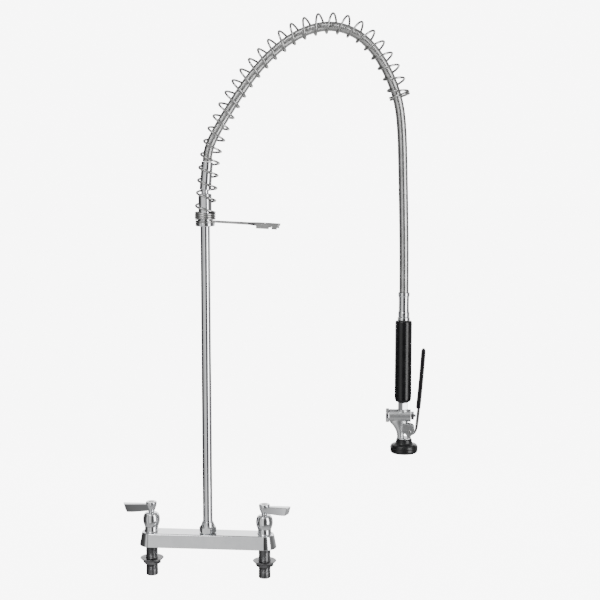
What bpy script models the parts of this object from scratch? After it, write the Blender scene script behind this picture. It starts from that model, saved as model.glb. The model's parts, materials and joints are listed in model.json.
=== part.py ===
"""Deck-mount pre-rinse faucet: two-handle base, riser, hook arm, overhead spring, hose and spray valve.

Metres, +Z up. The origin is the centre of the base body's underside, which stands on the deck.
+X runs along the body towards the side that the spring arch reaches over, and the front is -Y.
A profile is a list of (radius, height) points in millimetres.
"""

import math

import bmesh
import bpy
import numpy as np
from mathutils import Matrix, Vector

MM = 0.001
GAP = 0.3 * MM  # left between two pieces that touch

# Facets round a turned piece. A level with flats takes a multiple of 12.
ROUND = 18
ROUND_HIDDEN = 12
ROUND_HOLE = 16
HEX_LARGE = 24
HEX_SMALL = 12

# ---- Base ----
SHANK_X = 203.2 / 2 * MM  # the two supply shanks stand 8 inches apart
BODY_HEIGHT = 25.0 * MM
BODY_END = 21.4 * MM  # how far the body reaches past each shank's axis, at its widest
BODY_HALF_DEPTH = 21.5 * MM
BOSS_TOP = 34.0 * MM
BOSS_FOOT = 12.0 * MM
BOSS_R = 12.0 * MM
ABOVE_BODY = 40.0 * MM  # where the cutters that come from above start
VALVE_BORE_R = 9.5 * MM
VALVE_BORE_FLOOR = 10.5 * MM
SEAT_HOLE_R = 4.5 * MM
SEAT_HOLE = (5.0 * MM, 15.0 * MM)
PASSAGE_Z = 18.0 * MM
PASSAGE_R = 3.5 * MM
OUTLET_FLOOR = 10.0 * MM
SEAL_SEAT_R = 10.9 * MM
SEAL_SEAT_DEPTH = 2.5 * MM

SHANK_R = 10.65 * MM  # 1/2 inch pipe thread
SHANK_BORE_R = 7.5 * MM
SHANK_LENGTH = 55.0 * MM  # below the body
SHANK_SOCKET = 7.7 * MM  # depth of the socket in the body
WASHER_R = 21.0 * MM
WASHER_TOP = -23.5 * MM
WASHER_BOTTOM = -28.0 * MM
LOCKNUT_R = 14.0 * MM  # across flats
LOCKNUT_HEIGHT = 5.6 * MM

# ---- Valves and handles ----
PORT_Z = 19.5 * MM
PORT_R = 2.4 * MM
DISC_PORT_Y = 3.8 * MM
DISC_PORT_R = 2.0 * MM
STEM_R = 3.4 * MM
STEM_TOP = 72.2 * MM
BLADE_CORNER = 1.2 * MM
BLADE_LEAN = 4.0 * MM  # how far the blade's end face leans in at the bottom
HANDLE_REST_TURN = math.radians(22)  # both handles rest turned this far towards the front

# ---- Riser and what stands on it ----
RISER_R = 8.55 * MM  # 3/8 inch pipe
RISER_BORE_R = 6.3 * MM
RISER_BOTTOM = 12.0 * MM
RISER_TOP = 586.2 * MM
NUT_FLATS_R = 13.5 * MM
NUT_TOP = 45.5 * MM
COLLAR_BOTTOM = 571.0 * MM
COLLAR_TOP = 577.5 * MM
COLLAR_R = 17.0 * MM
ARM_THICK = 3.0 * MM
ARM_HALF_WIDTH = 9.5 * MM
ARM_TIP_X = 129.0 * MM
ARM_HEAD_X = 90.0 * MM
ARM_FLARE = 14.0 * MM
ARM_HEAD_HALF_WIDTH = 21.0 * MM
ARM_SLOT_HALF_WIDTH = 9.5 * MM
ARM_SLOT_X = 99.0 * MM
ARM_DROP = math.tan(math.radians(3.0))  # the arm slopes down towards its tip
LIP_THICK = 3.0 * MM
LIP_DEPTH = 5.0 * MM
LIP_SPANS = ((91.0 * MM, 113.0 * MM), (118.0 * MM, 127.0 * MM))
FITTING_R = 12.0 * MM
FITTING_FLANGE_R = 13.2 * MM
FITTING_FLATS_R = 11.0 * MM
FITTING_SHOULDER = 627.0 * MM
FITTING_NECK_R = 6.5 * MM
FITTING_WATERWAY_R = 4.6 * MM
FITTING_TOP = 637.0 * MM

# ---- Overhead spring, in its X-Z plane ----
WIRE_R = 1.6 * MM
WIRE_SIDES = 4
SPRING_R = 16.5 * MM  # to the middle of the wire
SPRING_PITCH = 21.6 * MM
SPRING_STEPS = 10  # straight lengths in one turn
CLOSED_PITCH = 3.6 * MM
CLOSED_TURNS = (3.5, 1.5)  # at the riser's end and at the far end
SPRING_ROUTE = [
    (0.0000, 0.5828), (0.0012, 0.6120), (0.0040, 0.6400), (0.0070, 0.6700), (0.0123, 0.7020),
    (0.0290, 0.7490), (0.0605, 0.8070), (0.1030, 0.8585), (0.1560, 0.8990), (0.2180, 0.9150),
    (0.2620, 0.9020), (0.3010, 0.8640), (0.3245, 0.8210), (0.3345, 0.7910),
]

# ---- Hose, in the same plane ----
HOSE_R = 8.2 * MM
HOSE_ROUTE = [
    (0.0046, 0.6824), (0.0057, 0.6945), (0.0105, 0.7120), (0.0190, 0.7300), (0.0470, 0.7765),
    (0.0830, 0.8280), (0.1293, 0.8751), (0.1725, 0.9009), (0.2180, 0.9095), (0.2660, 0.8930),
    (0.3030, 0.8520), (0.3225, 0.8130), (0.3330, 0.7780), (0.3380, 0.7380), (0.3405, 0.6800),
    (0.3425, 0.6050), (0.3440, 0.5300), (0.3445, 0.4593),
]
HOSE_SPACING = 22.0 * MM
HOSE_BEND_Z = 767.0 * MM  # where the hanging hose swings, just past the spring's end
HOSE_BEND_GAP = 4.0 * MM
FERRULE_FOOT = (0.0008, 0.6340)
FERRULE_TILT = math.radians(4.5)

# ---- Spray valve, all on the hanging hose's line ----
SPRAY_X = 344.5 * MM
BARREL_Z = 243.5 * MM
BARREL_R = 10.8 * MM
BARREL_LEFT = 321.3 * MM
BARREL_RIGHT = 358.5 * MM
CHAMBER_R = 8.0 * MM
CHAMBER_END_X = 347.0 * MM
INLET_BOSS_R = 9.2 * MM
INLET_BOSS_TOP = 254.7 * MM
INLET_X = 342.5 * MM
INLET_R = 3.0 * MM
WATERWAY_R = 2.6 * MM
OUTLET_X = 341.2 * MM
HEAD_X = 347.0 * MM
HEAD_PLATE = (202.5 * MM, 204.5 * MM)
HEAD_PLATE_R = 12.6 * MM
ADAPTER = (186.0 * MM, 203.9 * MM)
ADAPTER_R = 9.0 * MM
STRUT_X = (352.3 * MM, 358.4 * MM)
STRUT_Z = (203.2 * MM, 206.8 * MM)
PIVOT_X = 356.5 * MM
PIVOT_Z = 216.5 * MM
PIN_R = 1.5 * MM
EAR_INNER_Y = 5.8 * MM
EAR_OUTER_Y = 8.6 * MM
PAST_EARS = 12.0 * MM
SPRAY_HOLES = 8
SPRAY_HOLE_R = 0.9 * MM
SPRAY_HOLE_CIRCLE_R = 9.5 * MM

LEVER_THICK = 2.8 * MM
LEVER_ROUTE = [
    (0.3560, 0.2122), (0.3612, 0.2126), (0.3652, 0.2162), (0.3671, 0.2225), (0.3688, 0.2360),
    (0.3702, 0.2500), (0.3722, 0.2710), (0.3752, 0.3060), (0.3778, 0.3410), (0.3790, 0.3590),
]
LEVER_SPACING = 6.5 * MM
LEVER_NARROW = 5.2 * MM  # half its width between the ears
LEVER_WIDE = 8.5 * MM  # and above them
LEVER_WIDENS = (229.5 * MM, 234.5 * MM)
LEVER_BOSS_R = 3.6 * MM
COAT_START_Z = 256.5 * MM
COAT_END_Z = 362.0 * MM
COAT_THICK = 6.6 * MM
COAT_HALF_WIDTH = 10.4 * MM
COAT_END_TAPER = 0.62


# ---------------------------------------------------------------- materials


def material(name, colour, roughness, metallic):
    """A Principled material, made once and shared by the pieces that ask for it again."""
    made = bpy.data.materials.get(name)
    if made:
        return made
    made = bpy.data.materials.new(name)
    made.use_nodes = True
    surface = made.node_tree.nodes["Principled BSDF"]
    surface.inputs["Base Color"].default_value = (*colour, 1.0)
    surface.inputs["Roughness"].default_value = roughness
    surface.inputs["Metallic"].default_value = metallic
    made.diffuse_color = (*colour, 1.0)
    return made


def chrome():
    return material("polished_chrome", (0.78, 0.79, 0.80), 0.10, 1.0)


def satin_chrome():
    return material("satin_chrome", (0.62, 0.63, 0.64), 0.28, 1.0)


def stainless():
    return material("stainless_steel", (0.58, 0.58, 0.57), 0.26, 1.0)


def dark_thread():
    return material("shank_steel", (0.30, 0.30, 0.30), 0.38, 1.0)


def brass():
    return material("valve_brass", (0.72, 0.53, 0.25), 0.30, 1.0)


def ceramic():
    return material("white_ceramic", (0.86, 0.85, 0.82), 0.25, 0.0)


def seal_rubber():
    return material("seal_rubber", (0.035, 0.035, 0.035), 0.75, 0.0)


def grip_vinyl():
    return material("black_vinyl", (0.012, 0.012, 0.013), 0.24, 0.0)


def bumper_rubber():
    return material("black_rubber", (0.020, 0.020, 0.021), 0.45, 0.0)


# ------------------------------------------------------------- mesh helpers


def clear_scene():
    for old in list(bpy.data.objects):
        bpy.data.objects.remove(old, do_unlink=True)


def place(name, bm, surface, location=(0, 0, 0), smooth=35):
    """Ends a bmesh as a named object, with its faces outwards and its curved faces smooth."""
    bmesh.ops.recalc_face_normals(bm, faces=bm.faces)
    mesh = bpy.data.meshes.new(name)
    bm.to_mesh(mesh)
    bm.free()
    mesh.shade_smooth()
    mesh.set_sharp_from_angle(angle=math.radians(smooth))
    mesh.materials.append(surface)
    made = bpy.data.objects.new(name, mesh)
    bpy.context.scene.collection.objects.link(made)
    made.location = location
    return made


def circle(radius, z, count):
    turns = [2 * math.pi * i / count for i in range(count)]
    return [(radius * math.cos(turn), radius * math.sin(turn), z) for turn in turns]


def hexagon(flats_radius, z, count):
    """A hexagon with as many points as a circle, so that the two can be joined level to level."""
    found = []
    for i in range(count):
        turn = 2 * math.pi * i / count
        off = (turn + math.pi / 6) % (math.pi / 3) - math.pi / 6
        reach = flats_radius / math.cos(off)
        found.append((reach * math.cos(turn), reach * math.sin(turn), z))
    return found


def stacked(levels, bored=False):
    """A solid over rings of points. The last ring joins the first where the solid has a bore."""
    bm = bmesh.new()
    rings = [[bm.verts.new(point) for point in level] for level in levels]
    pairs = list(zip(rings, rings[1:]))
    if bored:
        pairs.append((rings[-1], rings[0]))
    else:
        bm.faces.new(rings[0])
        bm.faces.new(rings[-1])
    for low, high in pairs:
        for i in range(len(low)):
            j = (i + 1) % len(low)
            bm.faces.new((low[i], low[j], high[j], high[i]))
    return bm


def turned(profile, bored=True, count=ROUND):
    """A turned solid from a profile. A bored one's profile is a closed loop."""
    return stacked([circle(r * MM, z * MM, count) for r, z in profile], bored)


def extruded(outline, depth):
    """An outline in local X-Y, extruded up by depth."""
    bm = bmesh.new()
    face = bm.faces.new([bm.verts.new((x, y, 0)) for x, y in outline])
    grown = bmesh.ops.extrude_face_region(bm, geom=[face])
    moved = [item for item in grown["geom"] if isinstance(item, bmesh.types.BMVert)]
    bmesh.ops.translate(bm, verts=moved, vec=(0, 0, depth))
    return bm


def rod(start, end, radius, count=ROUND_HOLE):
    """A plain cylinder from one point to another."""
    start, end = Vector(start), Vector(end)
    bm = stacked([circle(radius, 0, count), circle(radius, (end - start).length, count)])
    turn = Vector((0, 0, 1)).rotation_difference(end - start).to_matrix().to_4x4()
    bmesh.ops.transform(bm, verts=bm.verts, matrix=Matrix.Translation(start) @ turn)
    return bm


def block(low, high):
    bm = bmesh.new()
    bmesh.ops.create_cube(bm, size=1.0)
    low, high = Vector(low), Vector(high)
    for vert in bm.verts:
        vert.co = (low + high) / 2 + Vector([c * s for c, s in zip(vert.co, high - low)])
    return bm


def combine(made, operation, bm):
    """Adds a Boolean with a hidden helper to a piece."""
    helper = place(f"{made.name}_helper_{len(made.modifiers)}", bm, made.data.materials[0])
    helper.hide_render = True
    helper.display_type = "WIRE"
    helper.matrix_world = made.matrix_basis.copy()
    step = made.modifiers.new(f"{operation.lower()}_{len(made.modifiers)}", "BOOLEAN")
    step.operation = operation
    step.solver = "EXACT"
    step.object = helper


def smooth_route(points, spacing):
    """Points at even spacing on the natural cubic curve through a route of (x, z) points."""
    route = np.array(points)
    at = lengths_along(route)
    step = np.diff(at)
    count = len(at)
    system = np.eye(count)
    wanted = np.zeros((count, 2))
    for i in range(1, count - 1):
        system[i, i - 1] = step[i - 1]
        system[i, i] = 2 * (step[i - 1] + step[i])
        system[i, i + 1] = step[i]
        wanted[i] = 6 * ((route[i + 1] - route[i]) / step[i] - (route[i] - route[i - 1]) / step[i - 1])
    bend = np.linalg.solve(system, wanted)

    def curve(where):
        i = np.clip(np.searchsorted(at, where, side="right") - 1, 0, count - 2)
        left = (where - at[i])[:, None]
        right = (at[i + 1] - where)[:, None]
        wide = step[i][:, None]
        cubic = (bend[i] * right**3 + bend[i + 1] * left**3) / (6 * wide)
        straight = (route[i] / wide - bend[i] * wide / 6) * right
        straight += (route[i + 1] / wide - bend[i + 1] * wide / 6) * left
        return cubic + straight

    fine = curve(np.linspace(0, at[-1], 4000))
    along = lengths_along(fine)
    wanted_at = np.linspace(0, along[-1], max(2, round(along[-1] / spacing) + 1))
    return points_at(fine, along, wanted_at)


def lengths_along(line):
    return np.concatenate([[0], np.cumsum(np.linalg.norm(np.diff(line, axis=0), axis=1))])


def points_at(line, along, where):
    return np.stack([np.interp(where, along, line[:, k]) for k in (0, 1)], axis=-1)


def wire(points, radius, sides):
    """A round wire along a 3-D polyline, with a frame that doesn't twist."""
    points = [Vector(point) for point in points]
    last = len(points) - 1
    ahead = []
    for i in range(last + 1):
        ahead.append((points[min(i + 1, last)] - points[max(i - 1, 0)]).normalized())
    turns = [2 * math.pi * k / sides for k in range(sides)]
    side = ahead[0].orthogonal().normalized()
    levels = []
    for i, direction in enumerate(ahead):
        if i:
            side = ahead[i - 1].rotation_difference(direction) @ side
            side = (side - side.dot(direction) * direction).normalized()
        other = direction.cross(side)
        levels.append([points[i] + radius * (math.cos(t) * side + math.sin(t) * other) for t in turns])
    return stacked(levels)


# --------------------------------------------------------------------- base


def body_level(length_in, depth_in, z):
    """One level of the body: straight sides and half-round ends, drawn in by amounts in millimetres."""
    end_points = 8
    found = []
    for side in (1, -1):
        for i in range(end_points + 1):
            turn = math.pi * i / end_points - math.pi / 2
            x = SHANK_X + (BODY_END - length_in * MM) * math.cos(turn)
            y = (BODY_HALF_DEPTH - depth_in * MM) * math.sin(turn)
            found.append((side * x, side * y, z))
    return found


def base_body():
    levels = [
        body_level(0.6, 0.4, 0),
        body_level(0, 0, 1.0 * MM),
        body_level(4.0, 1.3, 21.0 * MM),
        body_level(5.2, 2.3, 23.9 * MM),
        body_level(7.6, 4.4, BODY_HEIGHT),
    ]
    body = place("base_body", stacked(levels), chrome())
    for x in (-SHANK_X, SHANK_X):
        combine(body, "UNION", rod((x, 0, BOSS_FOOT), (x, 0, BOSS_TOP), BOSS_R, ROUND))
        combine(body, "DIFFERENCE", rod((x, 0, VALVE_BORE_FLOOR), (x, 0, ABOVE_BODY), VALVE_BORE_R))
        combine(body, "DIFFERENCE", rod((x, 0, -MM), (x, 0, SHANK_SOCKET), SHANK_R + GAP))
        combine(body, "DIFFERENCE", rod((x, 0, SEAT_HOLE[0]), (x, 0, SEAT_HOLE[1]), SEAT_HOLE_R))
    passage = rod((-SHANK_X, 0, PASSAGE_Z), (SHANK_X, 0, PASSAGE_Z), PASSAGE_R, ROUND_HIDDEN)
    combine(body, "DIFFERENCE", passage)
    combine(body, "DIFFERENCE", rod((0, 0, OUTLET_FLOOR), (0, 0, ABOVE_BODY), RISER_R + GAP))
    seal_floor = BODY_HEIGHT - SEAL_SEAT_DEPTH
    combine(body, "DIFFERENCE", rod((0, 0, seal_floor), (0, 0, ABOVE_BODY), SEAL_SEAT_R))


def supply_shank(side, x):
    r, bore = SHANK_R / MM, SHANK_BORE_R / MM
    bottom, top = -SHANK_LENGTH / MM, (SHANK_SOCKET - GAP) / MM
    profile = [(r - 0.8, bottom), (r, bottom + 0.9), (r, top), (bore, top), (bore, bottom)]
    place(f"{side}_supply_shank", turned(profile, count=ROUND_HOLE), dark_thread(), (x, 0, 0))


def shank_washer(side, x):
    bore = (SHANK_R + GAP) / MM
    top, bottom, r = WASHER_TOP / MM, WASHER_BOTTOM / MM, WASHER_R / MM
    profile = [
        (bore, bottom), (r - 7.0, bottom), (r - 0.8, top - 2.2),
        (r, top - 1.2), (r - 0.5, top), (bore, top),
    ]
    place(f"{side}_shank_washer", turned(profile), dark_thread(), (x, 0, 0))


def shank_locknut(side, x):
    top = WASHER_BOTTOM - GAP
    bottom = top - LOCKNUT_HEIGHT
    levels = [
        circle(LOCKNUT_R - 0.4 * MM, bottom, HEX_SMALL),
        hexagon(LOCKNUT_R, bottom + 0.8 * MM, HEX_SMALL),
        hexagon(LOCKNUT_R, top, HEX_SMALL),
        circle(SHANK_R + 2 * GAP, top, HEX_SMALL),
        circle(SHANK_R + 2 * GAP, bottom, HEX_SMALL),
    ]
    place(f"{side}_shank_locknut", stacked(levels, bored=True), dark_thread(), (x, 0, 0))


# ----------------------------------------------------- valves under the handles


def valve_seal(side, x):
    profile = [(9.2, 10.8), (9.2, 12.8), (5.0, 12.8), (5.0, 10.8)]
    place(f"{side}_valve_seal", turned(profile, count=ROUND_HIDDEN), seal_rubber(), (x, 0, 0))


def valve_cartridge(side, x):
    """The brass sleeve that holds the two discs, with a port towards the body's passage."""
    profile = [
        (9.2, 13.1), (9.2, 34.3), (11.3, 34.3), (11.3, 36.6),
        (3.8, 36.6), (3.8, 28.0), (7.4, 28.0), (7.4, 13.1),
    ]
    sleeve = place(f"{side}_valve_cartridge", turned(profile, count=ROUND_HIDDEN), brass(), (x, 0, 0))
    reach = math.copysign(14 * MM, -x)
    port = rod((0, 0, PORT_Z), (reach, 0, PORT_Z), PORT_R, ROUND_HIDDEN)
    combine(sleeve, "DIFFERENCE", port)


def valve_disc(name, x, bottom):
    """A ceramic disc with one port off its centre."""
    profile = [(7.0, bottom), (7.0, bottom + 2.0)]
    disc = place(name, turned(profile, bored=False, count=ROUND_HIDDEN), ceramic(), (x, 0, 0))
    port = rod((0, DISC_PORT_Y, 0), (0, DISC_PORT_Y, BODY_HEIGHT), DISC_PORT_R, ROUND_HIDDEN)
    combine(disc, "DIFFERENCE", port)


def valve_stem(side, x):
    """The spindle: a foot that drives the turning disc, a shaft, and a hole for the handle's screw."""
    r, top = STEM_R / MM, STEM_TOP / MM
    profile = [
        (6.8, 17.7), (6.8, 21.0), (r, 21.8), (r, top),
        (2.3, top), (2.3, 63.0), (0.6, 62.0), (0.6, 17.7),
    ]
    place(f"{side}_valve_stem", turned(profile, count=ROUND_HIDDEN), brass(), (x, 0, 0))


def bonnet(side, x):
    profile = [
        (12.3, 34.3), (13.0, 36.0), (14.4, 40.0), (15.0, 44.5), (14.8, 50.0), (13.8, 54.5),
        (12.2, 57.4), (9.4, 59.0), (3.8, 59.4), (3.8, 38.6), (11.7, 37.2), (11.7, 34.3),
    ]
    place(f"{side}_bonnet", turned(profile), chrome(), (x, 0, 0))


def blade_level(along, half_width, low, high, lean):
    """One section across the blade, an octagon with its edges broken."""
    foot, knee = along - lean, along - 0.9 * lean
    inner = half_width - BLADE_CORNER
    return [
        (foot, -inner, low), (foot, inner, low),
        (knee, half_width, low + BLADE_CORNER), (along, half_width, high - BLADE_CORNER),
        (along, inner, high), (along, -inner, high),
        (along, -half_width, high - BLADE_CORNER), (knee, -half_width, low + BLADE_CORNER),
    ]


def lever_handle(side, x):
    """A turned hub that tapers down to the stem, and a wedge blade. The origin is on the stem's axis."""
    hub = [
        (5.3, 59.9), (5.6, 62.0), (7.7, 67.0), (9.4, 72.5), (9.8, 77.6), (9.1, 79.0),
        (4.4, 79.0), (4.4, 77.0), (2.4, 76.9), (2.4, 72.6), (3.9, 72.6), (3.9, 59.9),
    ]
    handle = place(f"{side}_handle", turned(hub, count=ROUND_HOLE), chrome(), (x, 0, 0), smooth=40)
    turn = math.pi + HANDLE_REST_TURN if x < 0 else -HANDLE_REST_TURN
    handle.rotation_euler = (0, 0, turn)
    blade = [
        blade_level(4.6 * MM, 5.5 * MM, 62.9 * MM, 75.4 * MM, 0),
        blade_level(34.0 * MM, 7.0 * MM, 63.6 * MM, 78.2 * MM, 0),
        blade_level(49.0 * MM, 7.4 * MM, 64.7 * MM, 79.6 * MM, BLADE_LEAN),
    ]
    combine(handle, "UNION", stacked(blade))


def handle_screw(side, x):
    profile = [(0.9, 64.4), (1.9, 65.0), (1.9, 77.3), (4.0, 77.4), (3.9, 78.4), (3.2, 78.8)]
    screw = turned(profile, bored=False, count=ROUND_HIDDEN)
    place(f"{side}_handle_screw", screw, stainless(), (x, 0, 0))


# -------------------------------------------------------------------- riser


def riser_pieces():
    r, bore = RISER_R / MM, RISER_BORE_R / MM
    bottom, top = RISER_BOTTOM / MM, RISER_TOP / MM
    pipe = turned([(r, bottom), (r, top), (bore, top), (bore, bottom)], count=ROUND_HOLE)
    place("riser_pipe", pipe, chrome())

    outer, inner = (SEAL_SEAT_R - GAP) / MM, (RISER_R + GAP) / MM
    low, high = (BODY_HEIGHT - SEAL_SEAT_DEPTH + GAP) / MM, (BODY_HEIGHT - GAP) / MM
    seal = turned([(outer, low), (outer, high), (inner, high), (inner, low)], count=ROUND_HOLE)
    place("riser_seal", seal, seal_rubber())

    foot = BODY_HEIGHT + GAP
    levels = [
        circle(NUT_FLATS_R - 0.3 * MM, foot, HEX_LARGE),
        hexagon(NUT_FLATS_R, foot + 1.0 * MM, HEX_LARGE),
        hexagon(NUT_FLATS_R, 35.0 * MM, HEX_LARGE),
        circle(12.4 * MM, 38.0 * MM, HEX_LARGE),
        circle(9.9 * MM, 44.6 * MM, HEX_LARGE),
        circle(9.3 * MM, NUT_TOP, HEX_LARGE),
        circle(RISER_R + GAP, NUT_TOP, HEX_LARGE),
        circle(RISER_R + GAP, foot, HEX_LARGE),
    ]
    place("riser_nut", stacked(levels, bored=True), chrome())


def collar_and_fitting():
    low, high = COLLAR_BOTTOM / MM, COLLAR_TOP / MM
    r, bore = COLLAR_R / MM, (RISER_R + GAP) / MM
    profile = [(r - 1.2, low), (r, low + 1.2), (r, high - 0.8), (r - 0.8, high), (bore, high), (bore, low)]
    place("spring_collar", turned(profile), chrome())

    start = COLLAR_TOP + GAP
    flange = start + ARM_THICK + GAP
    seat = RISER_TOP + GAP
    levels = [
        circle(FITTING_R, start, HEX_LARGE),
        circle(FITTING_R, flange, HEX_LARGE),
        circle(FITTING_FLANGE_R, flange, HEX_LARGE),
        circle(FITTING_FLANGE_R, flange + 2.6 * MM, HEX_LARGE),
        hexagon(FITTING_FLATS_R, flange + 3.0 * MM, HEX_LARGE),
        hexagon(FITTING_FLATS_R, FITTING_SHOULDER, HEX_LARGE),
        circle(FITTING_NECK_R, FITTING_SHOULDER + 0.2 * MM, HEX_LARGE),
        circle(FITTING_NECK_R, FITTING_TOP, HEX_LARGE),
        circle(FITTING_WATERWAY_R, FITTING_TOP, HEX_LARGE),
        circle(FITTING_WATERWAY_R, seat, HEX_LARGE),
        circle(RISER_R + GAP, seat, HEX_LARGE),
        circle(RISER_R + GAP, start, HEX_LARGE),
    ]
    place("riser_top_fitting", stacked(levels, bored=True), chrome())


def hook_outline():
    """The arm seen from above: a forked head with an open slot, a strip, and a ring round the fitting."""
    slot_points, ring_points = 8, 18
    found = [(ARM_TIP_X, -ARM_HEAD_HALF_WIDTH), (ARM_TIP_X, -ARM_SLOT_HALF_WIDTH)]
    slot_middle = ARM_SLOT_X + ARM_SLOT_HALF_WIDTH
    for i in range(slot_points + 1):
        turn = math.pi * i / slot_points
        x = slot_middle - ARM_SLOT_HALF_WIDTH * math.sin(turn)
        found.append((x, -ARM_SLOT_HALF_WIDTH * math.cos(turn)))
    found += [(ARM_TIP_X, ARM_SLOT_HALF_WIDTH), (ARM_TIP_X, ARM_HEAD_HALF_WIDTH)]
    found += [(ARM_HEAD_X, ARM_HEAD_HALF_WIDTH), (ARM_HEAD_X - ARM_FLARE, ARM_HALF_WIDTH)]
    meet = math.asin(ARM_HALF_WIDTH / COLLAR_R)
    for i in range(ring_points + 1):
        turn = meet + 2 * (math.pi - meet) * i / ring_points
        found.append((COLLAR_R * math.cos(turn), COLLAR_R * math.sin(turn)))
    found += [(ARM_HEAD_X - ARM_FLARE, -ARM_HALF_WIDTH), (ARM_HEAD_X, -ARM_HEAD_HALF_WIDTH)]
    return found


def slope_down(bm):
    """Lowers what lies past the ring in proportion, so that the arm slopes and its ring stays level."""
    for vert in bm.verts:
        vert.co.z -= max(0.0, vert.co.x - COLLAR_R) * ARM_DROP
    return bm


def hook_arm():
    plate = slope_down(extruded(hook_outline(), ARM_THICK))
    bmesh.ops.triangulate(plate, faces=plate.faces)
    arm = place("hook_arm", plate, stainless(), (0, 0, COLLAR_TOP + GAP))
    for side in (-1, 1):
        outer = side * ARM_HEAD_HALF_WIDTH
        near, far = sorted((outer, outer - side * LIP_THICK))
        for start, end in LIP_SPANS:
            lip = block((start, near, -LIP_DEPTH), (end, far, ARM_THICK / 2))
            combine(arm, "UNION", slope_down(lip))
    hole = rod((0, 0, -ARM_THICK), (0, 0, 2 * ARM_THICK), FITTING_R + GAP, HEX_LARGE)
    combine(arm, "DIFFERENCE", hole)


# ----------------------------------------------------------- spring and hose


def overhead_spring():
    """A round wire wound about the spring's route: closed turns at each end, open turns between."""
    middle = smooth_route(SPRING_ROUTE, 2.0 * MM)
    along = lengths_along(middle)
    closed = [turns * CLOSED_PITCH for turns in CLOSED_TURNS]
    open_turns = round((along[-1] - sum(closed)) / SPRING_PITCH * 2) / 2
    marks = [0, closed[0], along[-1] - closed[1], along[-1]]
    counts = np.cumsum([0, CLOSED_TURNS[0], open_turns, CLOSED_TURNS[1]])
    steps = round(counts[-1] * SPRING_STEPS)
    points = []
    for i in range(steps + 1):
        turn = counts[-1] * i / steps
        where = np.interp(turn, counts, marks)
        x, z = points_at(middle, along, where)
        ahead_x, ahead_z = points_at(middle, along, where + MM) - points_at(middle, along, where - MM)
        outward = Vector((-ahead_z, 0, ahead_x)).normalized()
        angle = 2 * math.pi * turn
        round_axis = math.cos(angle) * outward + math.sin(angle) * Vector((0, 1, 0))
        points.append(Vector((x, 0, z)) + SPRING_R * round_axis)
    place("overhead_spring", wire(points, WIRE_R, WIRE_SIDES), stainless(), smooth=100)


def hose_piece(name, points):
    """A tube of the hose's diameter along (x, z) points."""
    data = bpy.data.curves.new(name, "CURVE")
    data.dimensions = "3D"
    data.bevel_depth = HOSE_R
    data.bevel_resolution = 3
    data.use_fill_caps = True
    line = data.splines.new("POLY")
    line.points.add(len(points) - 1)
    for knot, (x, z) in zip(line.points, points):
        knot.co = (x, 0, z, 1)
    data.materials.append(stainless())
    made = bpy.data.objects.new(name, data)
    bpy.context.scene.collection.objects.link(made)


def hose():
    """The hose in two lengths, parted where the hanging length swings below the spring."""
    fine = smooth_route(HOSE_ROUTE, 0.5 * MM)
    along = lengths_along(fine)
    falling = np.arange(len(fine)) > np.argmax(fine[:, 1])
    bend = along[np.argmax(falling & (fine[:, 1] < HOSE_BEND_Z))]
    parts = (
        ("hose_in_spring", 0, bend - HOSE_BEND_GAP / 2),
        ("hanging_hose", bend + HOSE_BEND_GAP / 2, along[-1]),
    )
    for name, start, end in parts:
        stops = np.linspace(start, end, round((end - start) / HOSE_SPACING) + 1)
        hose_piece(name, points_at(fine, along, stops))


def hose_ends():
    """The crimped ferrule at the riser, which leans with the hose, and the one above the grip."""
    profile = [
        (9.4, 0), (10.0, 0.9), (10.0, 8.0), (9.7, 8.5), (9.7, 43.0), (10.0, 43.5), (10.0, 47.1), (9.4, 48.0),
        (5.0, 48.0), (5.0, 5.5), (7.8, 5.5), (7.8, 0),
    ]
    top = place("hose_top_ferrule", turned(profile, count=ROUND_HOLE), chrome())
    top.location = (FERRULE_FOOT[0], 0, FERRULE_FOOT[1])
    top.rotation_euler = (0, FERRULE_TILT, 0)

    profile = [
        (5.2, 402.0), (5.2, 416.5), (9.9, 416.5), (9.9, 424.0), (9.3, 425.2), (9.3, 451.5),
        (9.9, 452.7), (9.9, 458.2), (9.2, 459.0), (3.6, 459.0), (3.6, 402.0),
    ]
    place("hose_end_ferrule", turned(profile, count=ROUND_HOLE), chrome(), (SPRAY_X, 0, 0))


# -------------------------------------------------------------- spray valve


def grip_pieces():
    at = (SPRAY_X, 0, 0)
    profile = [(10.0, 410.3), (10.7, 411.0), (10.7, 415.5), (10.0, 416.2), (5.6, 416.2), (5.6, 410.3)]
    place("swivel_nut", turned(profile, count=ROUND_HOLE), chrome(), at)

    profile = [
        (6.0, 255.4), (6.0, 267.3), (8.4, 267.3), (8.4, 409.9),
        (5.6, 409.9), (5.6, 401.5), (4.5, 401.5), (4.5, 255.4),
    ]
    place("grip_tube", turned(profile, count=ROUND_HOLE), stainless(), at)

    levels = [
        circle(7.9 * MM, 255.0 * MM, HEX_SMALL),
        hexagon(8.4 * MM, 255.8 * MM, HEX_SMALL),
        hexagon(8.4 * MM, 266.2 * MM, HEX_SMALL),
        circle(7.9 * MM, 267.0 * MM, HEX_SMALL),
        circle(6.4 * MM, 267.0 * MM, HEX_SMALL),
        circle(6.4 * MM, 255.0 * MM, HEX_SMALL),
    ]
    place("neck_nut", stacked(levels, bored=True), chrome(), at)

    profile = [
        (8.7, 267.6), (10.1, 267.6), (13.0, 269.8), (14.3, 273.1), (14.6, 277.6),
        (14.6, 406.4), (13.7, 408.9), (12.2, 409.9), (8.7, 409.9),
    ]
    place("grip_sleeve", turned(profile, count=ROUND_HOLE), grip_vinyl(), at)


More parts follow.
